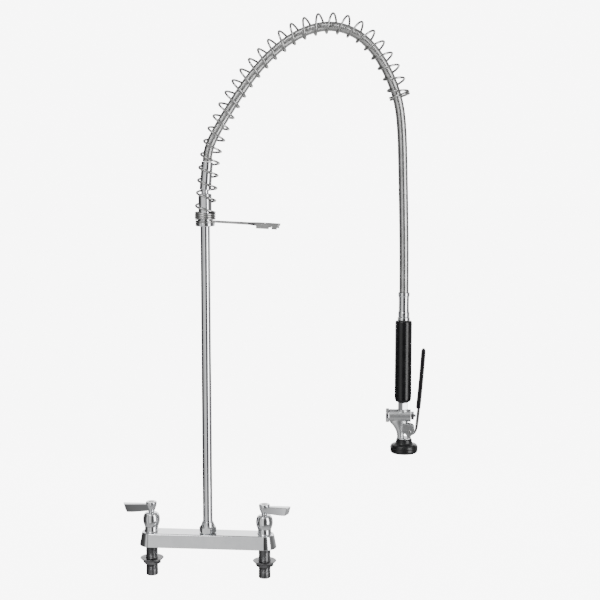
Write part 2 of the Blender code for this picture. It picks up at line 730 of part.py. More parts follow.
def outlet_neck():
    """The casting's neck, from (z, left, right, half depth) stations down to the round outlet."""
    stations = [
        (240.0, 323.5, 354.0, 7.6), (231.5, 322.0, 353.0, 8.6), (225.5, 327.6, 349.6, 8.4),
        (218.5, 332.0, 347.6, 7.4), (211.5, 334.3, 347.2, 6.6), (203.0, 335.0, 347.0, 6.2),
    ]
    levels = []
    for z, left, right, half_depth in stations:
        middle, half = (left + right) / 2, (right - left) / 2
        round_level = circle(MM, z * MM, ROUND_HOLE)
        levels.append([(middle * MM + half * x, half_depth * y, height) for x, y, height in round_level])
    return stacked(levels)


def ear(side):
    """One of the two ears that hold the lever's pin, with the strut that runs down to the head."""
    outline = [
        (344, 231), (358, 229), (363.5, 226.5), (365, 222), (364.2, 214), (360.5, 210.2),
        (358.5, 208.5), (358.5, 203.1), (352.2, 203.1), (352.2, 208.5), (349.5, 212), (344, 214),
    ]
    bm = extruded([(x * MM, z * MM) for x, z in outline], EAR_OUTER_Y - EAR_INNER_Y)
    bmesh.ops.transform(bm, verts=bm.verts, matrix=Matrix.Rotation(math.pi / 2, 4, "X"))
    bmesh.ops.translate(bm, verts=bm.verts, vec=(0, EAR_OUTER_Y if side > 0 else -EAR_INNER_Y, 0))
    return bm


def spray_body():
    """One casting: barrel, inlet boss, outlet neck, ears, strut and head plate, with its waterways cut."""
    z = BARREL_Z
    barrel = rod((BARREL_LEFT, 0, z), (BARREL_RIGHT, 0, z), BARREL_R, ROUND)
    body = place("spray_body", barrel, satin_chrome())
    combine(body, "UNION", rod((SPRAY_X, 0, z), (SPRAY_X, 0, INLET_BOSS_TOP), INLET_BOSS_R))
    combine(body, "UNION", outlet_neck())
    for side in (-1, 1):
        combine(body, "UNION", ear(side))
    web = EAR_OUTER_Y - 0.1 * MM
    combine(body, "UNION", block((STRUT_X[0], -web, STRUT_Z[0]), (STRUT_X[1], web, STRUT_Z[1])))
    plate = rod((HEAD_X, 0, HEAD_PLATE[0]), (HEAD_X, 0, HEAD_PLATE[1]), HEAD_PLATE_R, ROUND)
    combine(body, "UNION", plate)
    combine(body, "UNION", rod((HEAD_X, 0, ADAPTER[0]), (HEAD_X, 0, ADAPTER[1]), ADAPTER_R))

    barrel_cuts = (
        (BARREL_LEFT - MM, CHAMBER_END_X, CHAMBER_R),
        (CHAMBER_END_X - 2 * MM, 352.0 * MM, 4.2 * MM),
        (350.0 * MM, 354.5 * MM, 6.0 * MM),
        (354.0 * MM, BARREL_RIGHT + MM, 5.0 * MM),
    )
    for start, end, radius in barrel_cuts:
        combine(body, "DIFFERENCE", rod((start, 0, z), (end, 0, z), radius))
    waterways = (
        ((INLET_X, 0, z), (INLET_X, 0, INLET_BOSS_TOP + MM), INLET_R),
        ((352.4 * MM, 0, 239.0 * MM), (341.4 * MM, 0, 210.0 * MM), WATERWAY_R),
        ((OUTLET_X, 0, 212.0 * MM), (OUTLET_X, 0, 197.0 * MM), WATERWAY_R),
        ((PIVOT_X, -PAST_EARS, PIVOT_Z), (PIVOT_X, PAST_EARS, PIVOT_Z), PIN_R + GAP),
    )
    for start, end, radius in waterways:
        combine(body, "DIFFERENCE", rod(start, end, radius, ROUND_HIDDEN))
    combine(body, "DIFFERENCE", rod((HEAD_X, 0, ADAPTER[0] - MM), (HEAD_X, 0, 198.5 * MM), 6.5 * MM))


def along_barrel(name, bm, surface):
    """Lays a piece turned about Z along the barrel's axis, its heights becoming X positions."""
    made = place(name, bm, surface)
    made.matrix_world = Matrix.Translation((0, 0, BARREL_Z)) @ Matrix.Rotation(math.pi / 2, 4, "Y")


def barrel_pieces():
    profile = [
        (11.6, 315.0), (12.3, 315.7), (12.3, 320.2), (11.7, 321.0),
        (7.6, 321.0), (7.6, 326.4), (5.0, 326.4), (4.6, 318.5),
    ]
    along_barrel("barrel_cap", turned(profile, bored=False, count=ROUND_HOLE), chrome())

    levels = [
        circle(6.0 * MM, 358.8 * MM, HEX_SMALL),
        hexagon(6.4 * MM, 359.4 * MM, HEX_SMALL),
        hexagon(6.4 * MM, 363.2 * MM, HEX_SMALL),
        circle(5.9 * MM, 364.0 * MM, HEX_SMALL),
        circle(2.9 * MM, 364.0 * MM, HEX_SMALL),
        circle(2.9 * MM, 358.8 * MM, HEX_SMALL),
    ]
    along_barrel("packing_nut", stacked(levels, bored=True), chrome())

    profile = [(4.7, 354.8), (4.7, 358.4), (2.9, 358.4), (2.9, 354.8)]
    along_barrel("stem_packing", turned(profile, count=ROUND_HIDDEN), seal_rubber())

    profile = [(6.4, 340.5), (6.4, 343.2), (2.5, 343.3), (2.5, 366.2), (1.4, 367.4)]
    along_barrel("plunger", turned(profile, bored=False, count=ROUND_HIDDEN), stainless())

    profile = [(6.6, 343.5), (6.6, 346.6), (2.9, 346.6), (2.9, 343.5)]
    along_barrel("valve_seat_washer", turned(profile, count=ROUND_HIDDEN), seal_rubber())


def return_spring():
    turns, steps_per_turn = 4, 8
    start, end = 328.0 * MM, 336.0 * MM
    coil_r, wire_r = 5.4 * MM, 0.6 * MM
    points = []
    for i in range(turns * steps_per_turn + 1):
        turn = 2 * math.pi * i / steps_per_turn
        x = start + (end - start) * i / (turns * steps_per_turn)
        points.append((x, coil_r * math.cos(turn), BARREL_Z + coil_r * math.sin(turn)))
    place("return_spring", wire(points, wire_r, WIRE_SIDES), stainless(), smooth=100)


def head_pieces():
    at = (HEAD_X, 0, 0)
    profile = [
        (9.4, 202.2), (9.4, 185.6), (17.6, 185.6), (17.6, 178.0), (21.6, 178.0), (23.5, 180.2), (24.2, 182.7),
        (24.2, 188.7), (23.7, 191.2), (22.0, 192.8), (16.5, 194.2), (14.0, 196.7), (13.4, 202.2),
    ]
    place("bumper_ring", turned(profile, count=ROUND), bumper_rubber(), at)

    profile = [(15.8, 181.0), (0.9, 180.2), (0.9, 182.9), (14.0, 183.2), (14.5, 185.2), (17.2, 185.2), (17.2, 182.0)]
    face = place("spray_face", turned(profile, count=ROUND_HOLE), stainless(), at)
    for i in range(SPRAY_HOLES):
        turn = 2 * math.pi * (i + 0.5) / SPRAY_HOLES
        x, y = SPRAY_HOLE_CIRCLE_R * math.cos(turn), SPRAY_HOLE_CIRCLE_R * math.sin(turn)
        hole = rod((x, y, 178.0 * MM), (x, y, 188.0 * MM), SPRAY_HOLE_R, 5)
        combine(face, "DIFFERENCE", hole)


def lever_half_width(z):
    """Half the lever's width at a height: narrow between the ears, wide above them."""
    return float(np.interp(z, LEVER_WIDENS, (LEVER_NARROW, LEVER_WIDE)))


def strip_levels(points, thickness, half_width):
    """Four-cornered sections square to a strip that runs along (x, z) points."""
    levels = []
    last = len(points) - 1
    for i, (x, z) in enumerate(points):
        before, after = points[max(i - 1, 0)], points[min(i + 1, last)]
        across = Vector((after[1] - before[1], 0, before[0] - after[0])).normalized() * thickness / 2
        side = Vector((0, half_width(z), 0))
        middle = Vector((x, 0, z))
        levels.append([middle + across + side, middle + across - side])
        levels[-1] += [middle - across - side, middle - across + side]
    return levels


def squeeze_lever(route):
    strip = stacked(strip_levels(route, LEVER_THICK, lever_half_width))
    lever = place("squeeze_lever", strip, stainless(), smooth=50)
    half = LEVER_NARROW - 0.05 * MM
    combine(lever, "UNION", rod((PIVOT_X, -half, PIVOT_Z), (PIVOT_X, half, PIVOT_Z), LEVER_BOSS_R))
    hole = rod((PIVOT_X, -PAST_EARS, PIVOT_Z), (PIVOT_X, PAST_EARS, PIVOT_Z), PIN_R + GAP, ROUND_HIDDEN)
    combine(lever, "DIFFERENCE", hole)


def lever_coat(route):
    """A sleeve dipped over the lever's upper length, open at the bottom and closed at the tip."""
    inside = route[route[:, 1] > COAT_START_Z]
    step = inside[-1] - inside[-2]
    ahead = step / np.linalg.norm(step)
    past_tip = COAT_END_Z - inside[-1][1]
    outer_line = [*inside[:-1], inside[-1] + ahead * past_tip * 0.3, inside[-1] + ahead * past_tip]
    inner_line = [*inside, inside[-1] + ahead * GAP]
    outer = strip_levels(outer_line, COAT_THICK, lambda z: COAT_HALF_WIDTH)
    inner = strip_levels(inner_line, LEVER_THICK + 2 * GAP, lambda z: lever_half_width(z) + GAP)
    tip = sum(outer[-1], Vector()) / 4
    outer[-1] = [tip + (corner - tip) * COAT_END_TAPER for corner in outer[-1]]
    coat = stacked(outer[::-1] + inner)
    place("lever_coat", coat, grip_vinyl(), smooth=50)


def lever_pin():
    face, head = EAR_OUTER_Y / MM + 0.3, EAR_OUTER_Y / MM + 1.7
    profile = [
        (2.0, -head), (2.7, 0.6 - head), (2.7, -face), (1.5, -face),
        (1.5, face), (2.7, face), (2.7, head - 0.6), (2.0, head),
    ]
    pin = place("lever_pin", turned(profile, bored=False, count=ROUND_HIDDEN), stainless())
    pin.matrix_world = Matrix.Translation((PIVOT_X, 0, PIVOT_Z)) @ Matrix.Rotation(-math.pi / 2, 4, "X")


# --------------------------------------------------------------------- make


def main():
    clear_scene()
    base_body()
    for side, x in (("left", -SHANK_X), ("right", SHANK_X)):
        supply_shank(side, x)
        shank_washer(side, x)
        shank_locknut(side, x)
        valve_seal(side, x)
        valve_cartridge(side, x)
        valve_disc(f"{side}_fixed_disc", x, 13.1)
        valve_disc(f"{side}_turning_disc", x, 15.4)
        valve_stem(side, x)
        bonnet(side, x)
        lever_handle(side, x)
        handle_screw(side, x)
    riser_pieces()
    collar_and_fitting()
    hook_arm()
    overhead_spring()
    hose()
    hose_ends()
    grip_pieces()
    spray_body()
    barrel_pieces()
    return_spring()
    head_pieces()
    lever_route = smooth_route(LEVER_ROUTE, LEVER_SPACING)
    squeeze_lever(lever_route)
    lever_coat(lever_route)
    lever_pin()


main()
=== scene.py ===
"""Looks of the deck-mount pre-rinse faucet: every visible piece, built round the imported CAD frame.

Metres, in the CAD's frame: +Z up, and the front is -Y. A profile is a list of (radius, height) points
in millimetres, with its heights counted from the foot of the CAD node that the piece stands for.
"""

import json
import math

import bmesh
import bpy
import numpy as np
from mathutils import Matrix, Vector


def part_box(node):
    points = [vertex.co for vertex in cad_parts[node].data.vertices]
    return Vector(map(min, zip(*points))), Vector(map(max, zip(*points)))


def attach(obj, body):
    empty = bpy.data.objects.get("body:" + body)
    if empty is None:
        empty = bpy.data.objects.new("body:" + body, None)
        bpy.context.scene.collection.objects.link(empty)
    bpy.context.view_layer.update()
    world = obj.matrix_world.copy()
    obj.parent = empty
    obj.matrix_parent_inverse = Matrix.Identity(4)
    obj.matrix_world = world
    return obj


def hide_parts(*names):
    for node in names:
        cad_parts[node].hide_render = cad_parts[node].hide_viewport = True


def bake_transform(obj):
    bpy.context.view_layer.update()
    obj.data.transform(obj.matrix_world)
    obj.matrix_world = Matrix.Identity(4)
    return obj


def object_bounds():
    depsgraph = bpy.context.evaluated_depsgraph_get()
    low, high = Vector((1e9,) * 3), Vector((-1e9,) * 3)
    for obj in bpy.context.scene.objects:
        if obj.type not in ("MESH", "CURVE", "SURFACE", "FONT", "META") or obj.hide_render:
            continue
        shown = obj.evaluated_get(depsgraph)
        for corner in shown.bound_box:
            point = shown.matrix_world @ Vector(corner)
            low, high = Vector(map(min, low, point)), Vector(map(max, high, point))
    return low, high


MM = 0.001
ROUND = 96  # facets round a turned piece

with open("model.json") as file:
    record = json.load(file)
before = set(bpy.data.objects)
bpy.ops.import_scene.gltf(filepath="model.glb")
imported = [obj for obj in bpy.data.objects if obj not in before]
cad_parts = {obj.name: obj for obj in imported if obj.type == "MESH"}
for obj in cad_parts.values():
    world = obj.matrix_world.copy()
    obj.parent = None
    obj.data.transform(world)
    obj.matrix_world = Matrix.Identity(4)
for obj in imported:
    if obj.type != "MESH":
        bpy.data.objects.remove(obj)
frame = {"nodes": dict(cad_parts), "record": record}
cad_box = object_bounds()
record = frame["record"]
BODY_OF = {node: body for body, nodes in record["behaviour"]["bodies"].items() for node in nodes}
SLOT_OF = {row["node"]: row["material_slot"] for row in record["subparts"]}

# ---- Routes in the X-Z plane, as the CAD has them ----
SPRING_ROUTE = [
    (0.0000, 0.5828), (0.0012, 0.6120), (0.0040, 0.6400), (0.0070, 0.6700), (0.0123, 0.7020),
    (0.0290, 0.7490), (0.0605, 0.8070), (0.1030, 0.8585), (0.1560, 0.8990), (0.2180, 0.9150),
    (0.2620, 0.9020), (0.3010, 0.8640), (0.3245, 0.8210), (0.3345, 0.7910),
]
HOSE_ROUTE = [
    (0.0046, 0.6824), (0.0057, 0.6945), (0.0105, 0.7120), (0.0190, 0.7300), (0.0470, 0.7765),
    (0.0830, 0.8280), (0.1293, 0.8751), (0.1725, 0.9009), (0.2180, 0.9095), (0.2660, 0.8930),
    (0.3030, 0.8520), (0.3225, 0.8130), (0.3330, 0.7780), (0.3380, 0.7380), (0.3405, 0.6800),
    (0.3425, 0.6050), (0.3440, 0.5300), (0.3445, 0.4593),
]
HOSE_R = 8.2 * MM
HOSE_PITCH = 2.4 * MM  # one turn of the wound steel strip
HOSE_GROOVE = 0.32 * MM
WIRE_R = 1.9 * MM
SPRING_R = 16.5 * MM
SPRING_PITCH = 21.6 * MM
CLOSED_PITCH = 3.6 * MM
CLOSED_TURNS = (3.5, 1.5)
FERRULE_FOOT = (0.0008, 0, 0.6340)
FERRULE_TILT = math.radians(4.5)

# ---- Camera ----
CAMERA_AT = (0.3625, -2.2291, 0.7151)
CAMERA_TURN = (83.09, 0, 5.064)  # degrees
CAMERA_LENS = 78.0
FLOOR_DROP = 1.0 * MM
SEEN_WHITE = 8.0  # radiance that the eye sees as white


# ------------------------------------------------------------------ materials


def start_material(name):
    made = bpy.data.materials.new(name)
    made.use_nodes = True
    return made, made.node_tree.nodes, made.node_tree.links, made.node_tree.nodes["Principled BSDF"]


def grain(nodes, links, scale, detail=4.0, stretch=(1, 1, 1)):
    """Noise in the piece's own coordinates, with scale in features per metre."""
    coords = nodes.new("ShaderNodeTexCoord")
    mapping = nodes.new("ShaderNodeMapping")
    mapping.inputs["Scale"].default_value = stretch
    links.new(coords.outputs["Object"], mapping.inputs["Vector"])
    made = nodes.new("ShaderNodeTexNoise")
    made.inputs["Scale"].default_value = scale
    made.inputs["Detail"].default_value = detail
    links.new(mapping.outputs["Vector"], made.inputs["Vector"])
    return made.outputs["Fac"]


def spread(nodes, links, source, low, high):
    """Maps the middle of a noise's range to low..high."""
    made = nodes.new("ShaderNodeMapRange")
    made.inputs["From Min"].default_value = 0.3
    made.inputs["From Max"].default_value = 0.7
    made.inputs["To Min"].default_value = low
    made.inputs["To Max"].default_value = high
    links.new(source, made.inputs["Value"])
    return made.outputs["Result"]


def tint(nodes, links, source, light, dark):
    """A colour between dark and light, chosen by noise."""
    made = nodes.new("ShaderNodeMix")
    made.data_type = "RGBA"
    made.inputs["A"].default_value = (*dark, 1)
    made.inputs["B"].default_value = (*light, 1)
    links.new(spread(nodes, links, source, 0, 1), made.inputs["Factor"])
    return made.outputs["Result"]


def relief(nodes, links, source, height):
    made = nodes.new("ShaderNodeBump")
    made.inputs["Strength"].default_value = 1.0
    made.inputs["Distance"].default_value = height
    links.new(source, made.inputs["Height"])
    return made.outputs["Normal"]


def metal(name, light, dark, rough, fine_scale, fine_height, stretch=(1, 1, 1)):
    """Plated or bare metal: faint clouding, uneven polish and a fine surface grain."""
    made, nodes, links, surface = start_material(name)
    surface.inputs["Metallic"].default_value = 1.0
    clouds = grain(nodes, links, 60.0, 3.0)
    fine = grain(nodes, links, fine_scale, 3.0, stretch)
    links.new(tint(nodes, links, clouds, light, dark), surface.inputs["Base Color"])
    links.new(spread(nodes, links, fine, *rough), surface.inputs["Roughness"])
    links.new(relief(nodes, links, fine, fine_height), surface.inputs["Normal"])
    return made


def dull(name, light, dark, rough, fine_scale, fine_height, shine=0.5):
    """Rubber, vinyl or ceramic: mottled, with a soft moulded grain."""
    made, nodes, links, surface = start_material(name)
    surface.inputs["Metallic"].default_value = 0.0
    surface.inputs["Specular IOR Level"].default_value = shine
    clouds = grain(nodes, links, 90.0, 4.0)
    fine = grain(nodes, links, fine_scale, 4.0)
    links.new(tint(nodes, links, clouds, light, dark), surface.inputs["Base Color"])
    links.new(spread(nodes, links, clouds, *rough), surface.inputs["Roughness"])
    links.new(relief(nodes, links, fine, fine_height), surface.inputs["Normal"])
    return made


def make_materials():
    """One finished material for each of the record's slots."""
    return {
        "polished_chrome": metal(
            "polished_chrome", (0.80, 0.81, 0.82), (0.74, 0.75, 0.77), (0.05, 0.10), 260.0, 0.004 * MM
        ),
        "satin_chrome": metal(
            "satin_chrome", (0.70, 0.71, 0.72), (0.62, 0.63, 0.64), (0.34, 0.42), 1400.0, 0.008 * MM
        ),
        "stainless_steel": metal(
            "stainless_steel", (0.56, 0.56, 0.555), (0.40, 0.40, 0.395), (0.20, 0.32), 900.0, 0.008 * MM
        ),
        "shank_steel": metal(
            "shank_steel", (0.24, 0.24, 0.245), (0.12, 0.12, 0.125), (0.26, 0.44), 700.0, 0.020 * MM
        ),
        "valve_brass": metal(
            "valve_brass", (0.76, 0.57, 0.28), (0.64, 0.46, 0.20), (0.22, 0.34), 900.0, 0.010 * MM
        ),
        "white_ceramic": dull(
            "white_ceramic", (0.88, 0.87, 0.84), (0.82, 0.81, 0.78), (0.18, 0.28), 900.0, 0.004 * MM
        ),
        "seal_rubber": dull(
            "seal_rubber", (0.045, 0.045, 0.045), (0.025, 0.025, 0.025), (0.65, 0.80), 1500.0, 0.02 * MM
        ),
        "black_vinyl": dull(
            "black_vinyl", (0.010, 0.010, 0.011), (0.006, 0.006, 0.007), (0.20, 0.28), 420.0, 0.012 * MM, 0.4
        ),
        "black_rubber": dull(
            "black_rubber", (0.014, 0.014, 0.015), (0.008, 0.008, 0.009), (0.26, 0.36), 1100.0, 0.015 * MM
        ),
    }


MATERIALS = make_materials()


# --------------------------------------------------------------- mesh helpers


def finish_piece(node, bm, smooth=32):
    """Ends a bmesh as the piece that stands for a CAD node."""
    bmesh.ops.recalc_face_normals(bm, faces=bm.faces)
    mesh = bpy.data.meshes.new(f"{node}_finish")
    bm.to_mesh(mesh)
    bm.free()
    return finish_mesh(node, mesh, smooth)


def finish_mesh(node, mesh, smooth=32):
    mesh.shade_smooth()
    mesh.set_sharp_from_angle(angle=math.radians(smooth))
    mesh.materials.clear()
    mesh.materials.append(MATERIALS[SLOT_OF[node]])
    made = bpy.data.objects.new(f"{node}_finish", mesh)
    bpy.context.scene.collection.objects.link(made)
    even = made.modifiers.new("even_shading", "WEIGHTED_NORMAL")
    even.keep_sharp = True
    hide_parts(node)
    return made


def ride(made, node):
    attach(made, BODY_OF[node])


def circle(radius, z, count=ROUND):
    turns = [2 * math.pi * i / count for i in range(count)]
    return [(radius * math.cos(turn), radius * math.sin(turn), z) for turn in turns]


def flats(across, corner, z, turned=0.0):
    """A hexagon with a flat to the front, turned by an angle, and rounded off at the corner radius."""
    crisp = 60  # how sharply a flat meets the rounded corner
    found = []
    for i in range(ROUND):
        turn = 2 * math.pi * i / ROUND
        off = (turn + turned) % (math.pi / 3) - math.pi / 6
        reach = ((math.cos(off) / across) ** crisp + corner**-crisp) ** (-1 / crisp)
        found.append((reach * math.cos(turn), reach * math.sin(turn), z))
    return found


def stacked(levels, bored=False):
    """A solid over rings of points. The last ring joins the first where the solid has a bore."""
    bm = bmesh.new()
    rings = [[bm.verts.new(point) for point in level] for level in levels]
    pairs = list(zip(rings, rings[1:]))
    if bored:
        pairs.append((rings[-1], rings[0]))
    else:
        bm.faces.new(rings[0])
        bm.faces.new(rings[-1])
    for low, high in pairs:
        for i in range(len(low)):
            j = (i + 1) % len(low)
            bm.faces.new((low[i], low[j], high[j], high[i]))
    return bm


def eased(profile, radius, closed):
    """The profile with each corner that turns more than a little rounded by a short curve."""
    least_turn, most_of_side = math.radians(14), 0.42
    points = [Vector(point) for point in profile]
    last = len(points) - 1
    found = []
    for i, corner in enumerate(points):
        if not closed and i in (0, last):
            found.append(corner)
            continue
        before = points[i - 1] - corner
        after = points[(i + 1) % (last + 1)] - corner
        if math.pi - before.angle(after) < least_turn:
            found.append(corner)
            continue
        reach = min(radius, most_of_side * before.length, most_of_side * after.length)
        start = corner + before.normalized() * reach
        end = corner + after.normalized() * reach
        for share in (0, 0.25, 0.5, 0.75, 1):
            found.append(start * (1 - share) ** 2 + corner * 2 * share * (1 - share) + end * share**2)
    return found


def lathe(profile, bored=True, ease=0.35, count=ROUND):
    points = eased(profile, ease, bored)
    return stacked([circle(r * MM, z * MM, count) for r, z in points], bored)


def move(bm, matrix):
    bmesh.ops.transform(bm, verts=bm.verts, matrix=matrix)
    return bm


def foot_of(node):
    """The middle of the foot of a CAD node that stands upright."""
    low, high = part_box(node)
    return Vector(((low[0] + high[0]) / 2, (low[1] + high[1]) / 2, low[2]))


def height_of(node):
    low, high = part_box(node)
    return (high[2] - low[2]) / MM


def upright(node, bm, smooth=32):
    """Stands a piece on the foot of its CAD node."""
    made = finish_piece(node, move(bm, Matrix.Translation(foot_of(node))), smooth)
    ride(made, node)
    return made


def along_x(node, bm, smooth=32):
    """Lays a piece made upright along +X, from the left end of its CAD node."""
    low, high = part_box(node)
    at = Vector((low[0], (low[1] + high[1]) / 2, (low[2] + high[2]) / 2))
    matrix = Matrix.Translation(at) @ Matrix.Rotation(math.pi / 2, 4, "Y")
    made = finish_piece(node, move(bm, matrix), smooth)
    ride(made, node)
    return made


def rod(start, end, radius, count=48):
    start, end = Vector(start), Vector(end)
    bm = stacked([circle(radius, 0, count), circle(radius, (end - start).length, count)])
    turn = Vector((0, 0, 1)).rotation_difference(end - start).to_matrix().to_4x4()
    return move(bm, Matrix.Translation(start) @ turn)


def block(low, high):
    bm = bmesh.new()
    bmesh.ops.create_cube(bm, size=1.0)
    low, high = Vector(low), Vector(high)
    for vert in bm.verts:
        vert.co = (low + high) / 2 + Vector([c * s for c, s in zip(vert.co, high - low)])
    return bm


def helper_object(bm):
    bmesh.ops.recalc_face_normals(bm, faces=bm.faces)
    mesh = bpy.data.meshes.new("helper")
    bm.to_mesh(mesh)
    bm.free()
    made = bpy.data.objects.new("helper", mesh)
    bpy.context.scene.collection.objects.link(made)
    return made


def applied(made):
    """The mesh of an object with its modifiers applied. The object itself is removed."""
    graph = bpy.context.evaluated_depsgraph_get()
    mesh = bpy.data.meshes.new_from_object(made.evaluated_get(graph))
    bpy.data.objects.remove(made, do_unlink=True)
    return mesh


def joined(first, steps):
    """The mesh of a first shape with others added to it or cut from it by Booleans."""
    made = helper_object(first)
    others = []
    for operation, bm in steps:
        other = helper_object(bm)
        step = made.modifiers.new(operation, "BOOLEAN")
        step.operation = operation
        step.solver = "EXACT"
        step.object = other
        others.append(other)
    mesh = applied(made)
    for other in others:
        bpy.data.objects.remove(other, do_unlink=True)
    return mesh


def remeshed(mesh, voxel, smoothing):
    """The mesh rebuilt as one skin with soft fillets where its shapes meet, as a casting has."""
    made = bpy.data.objects.new("helper", mesh)
    bpy.context.scene.collection.objects.link(made)
    skin = made.modifiers.new("skin", "REMESH")
    skin.mode = "VOXEL"
    skin.voxel_size = voxel
    soft = made.modifiers.new("soft", "SMOOTH")
    soft.factor = 0.5
    soft.iterations = smoothing
    return applied(made)


def lengths_along(line):
    return np.concatenate([[0], np.cumsum(np.linalg.norm(np.diff(line, axis=0), axis=1))])


def points_at(line, along, where):
    return np.stack([np.interp(where, along, line[:, k]) for k in (0, 1)], axis=-1)


def smooth_route(points, spacing):
    """Points at even spacing on the natural cubic curve through a route of (x, z) points."""
    route = np.array(points)
    at = lengths_along(route)
    step = np.diff(at)
    count = len(at)
    system = np.eye(count)
    wanted = np.zeros((count, 2))
    for i in range(1, count - 1):
        system[i, i - 1] = step[i - 1]
        system[i, i] = 2 * (step[i - 1] + step[i])
        system[i, i + 1] = step[i]
        wanted[i] = 6 * ((route[i + 1] - route[i]) / step[i] - (route[i] - route[i - 1]) / step[i - 1])
    bend = np.linalg.solve(system, wanted)

    def curve(where):
        i = np.clip(np.searchsorted(at, where, side="right") - 1, 0, count - 2)
        left = (where - at[i])[:, None]
        right = (at[i + 1] - where)[:, None]
        wide = step[i][:, None]
        cubic = (bend[i] * right**3 + bend[i + 1] * left**3) / (6 * wide)
        straight = (route[i] / wide - bend[i] * wide / 6) * right
        straight += (route[i + 1] / wide - bend[i + 1] * wide / 6) * left
        return cubic + straight

    fine = curve(np.linspace(0, at[-1], 4000))
    along = lengths_along(fine)
    even = np.linspace(0, along[-1], max(2, round(along[-1] / spacing) + 1))
    return points_at(fine, along, even)


def tube_mesh(name, rings):
    """A mesh over an array of rings (ring, point, xyz), closed at both ends."""
    count, sides = rings.shape[:2]
    here = np.arange(count - 1)[:, None] * sides + np.arange(sides)[None, :]
    there = np.arange(count - 1)[:, None] * sides + (np.arange(sides)[None, :] + 1) % sides
    quads = np.stack([here, there, there + sides, here + sides], axis=-1).reshape(-1, 4).tolist()
    caps = [list(range(sides))[::-1], list(range((count - 1) * sides, count * sides))]
    mesh = bpy.data.meshes.new(name)
    mesh.from_pydata(rings.reshape(-1, 3).tolist(), [], quads + caps)
    mesh.validate()
    bm = bmesh.new()
    bm.from_mesh(mesh)
    bmesh.ops.recalc_face_normals(bm, faces=bm.faces)
    bm.to_mesh(mesh)
    bm.free()
    return mesh


# ------------------------------------------------------------- camera and cord


def make_camera():
    data = bpy.data.cameras.new("camera")
    data.lens = CAMERA_LENS
    data.sensor_width = 36.0
    made = bpy.data.objects.new("camera", data)
    made.location = CAMERA_AT
    made.rotation_euler = [math.radians(turn) for turn in CAMERA_TURN]
    bpy.context.scene.collection.objects.link(made)
    bpy.context.scene.camera = made


def make_hose():
    """The strip-wound steel hose in one piece, from the ferrule on the riser to the one on the grip."""
    middle = smooth_route(HOSE_ROUTE, HOSE_PITCH / 6)
    along = lengths_along(middle)
    ahead = np.gradient(middle, axis=0)
    ahead /= np.linalg.norm(ahead, axis=1)[:, None]
    sides = 28
    turns = 2 * np.pi * np.arange(sides) / sides
    phase = along[:, None] / HOSE_PITCH - turns[None, :] / (2 * np.pi)
    groove = np.cos(np.pi * phase) ** 8  # narrow, once a turn of the strip
    radius = HOSE_R - HOSE_GROOVE * groove
    inward = radius * np.cos(turns)
    rings = np.stack(
        [
            middle[:, None, 0] + inward * ahead[:, None, 1],
            radius * np.sin(turns),
            middle[:, None, 1] - inward * ahead[:, None, 0],
        ],
        axis=-1,
    )
    hose = finish_mesh("hanging_hose", tube_mesh("hose", rings), smooth=70)
    hose.name = "hose"
    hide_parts("hose_in_spring", "hanging_hose")
    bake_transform(hose)
    path = [(x, 0, z) for x, z in smooth_route(HOSE_ROUTE, 4 * MM)]


# ------------------------------------------------------------------------ base


def body_level(length_in, depth_in, z):
    """One level of the body: straight sides and half-round ends, drawn in by amounts in millimetres."""
    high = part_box("base_body")[1]
    shank_x = foot_of("right_supply_shank")[0]
    end, half_depth = high[0] - shank_x, high[1]
    end_points, side_points = 32, 10
    found = []
    for side in (1, -1):
        for i in range(end_points + 1):
            turn = math.pi * i / end_points - math.pi / 2
            x = shank_x + (end - length_in * MM) * math.cos(turn)
            y = (half_depth - depth_in * MM) * math.sin(turn)
            found.append((side * x, side * y, z * MM))
        for i in range(1, side_points):
            x = shank_x * (1 - 2 * i / side_points)
            found.append((side * x, side * (half_depth - depth_in * MM), z * MM))
    return found


def make_body():
    """The base casting: a drafted box with round ends, a crowned top and a boss over each shank."""
    outline = [
        (2.0, 1.8, 0), (0.5, 0.4, 0.3), (0, 0, 1.2), (4.1, 1.4, 22.4), (4.4, 1.7, 23.4),
        (5.0, 2.2, 24.2), (5.8, 3.0, 24.7), (6.9, 4.0, 25.0), (7.7, 4.8, 25.0),
    ]
    levels = [body_level(*level) for level in outline]
    boss = [(14.6, -2.0), (13.1, 0.2), (12.2, 1.6), (12.0, 3.0), (12.0, 9.0)]
    top = 25 * MM
    steps = []
    for side in ("left", "right"):
        at = foot_of(f"{side}_supply_shank")
        turned = lathe(boss, bored=False, ease=0.3)
        steps.append(("UNION", move(turned, Matrix.Translation((at[0], 0, top)))))
    made = finish_mesh("base_body", joined(stacked(levels), steps), smooth=40)
    ride(made, "base_body")


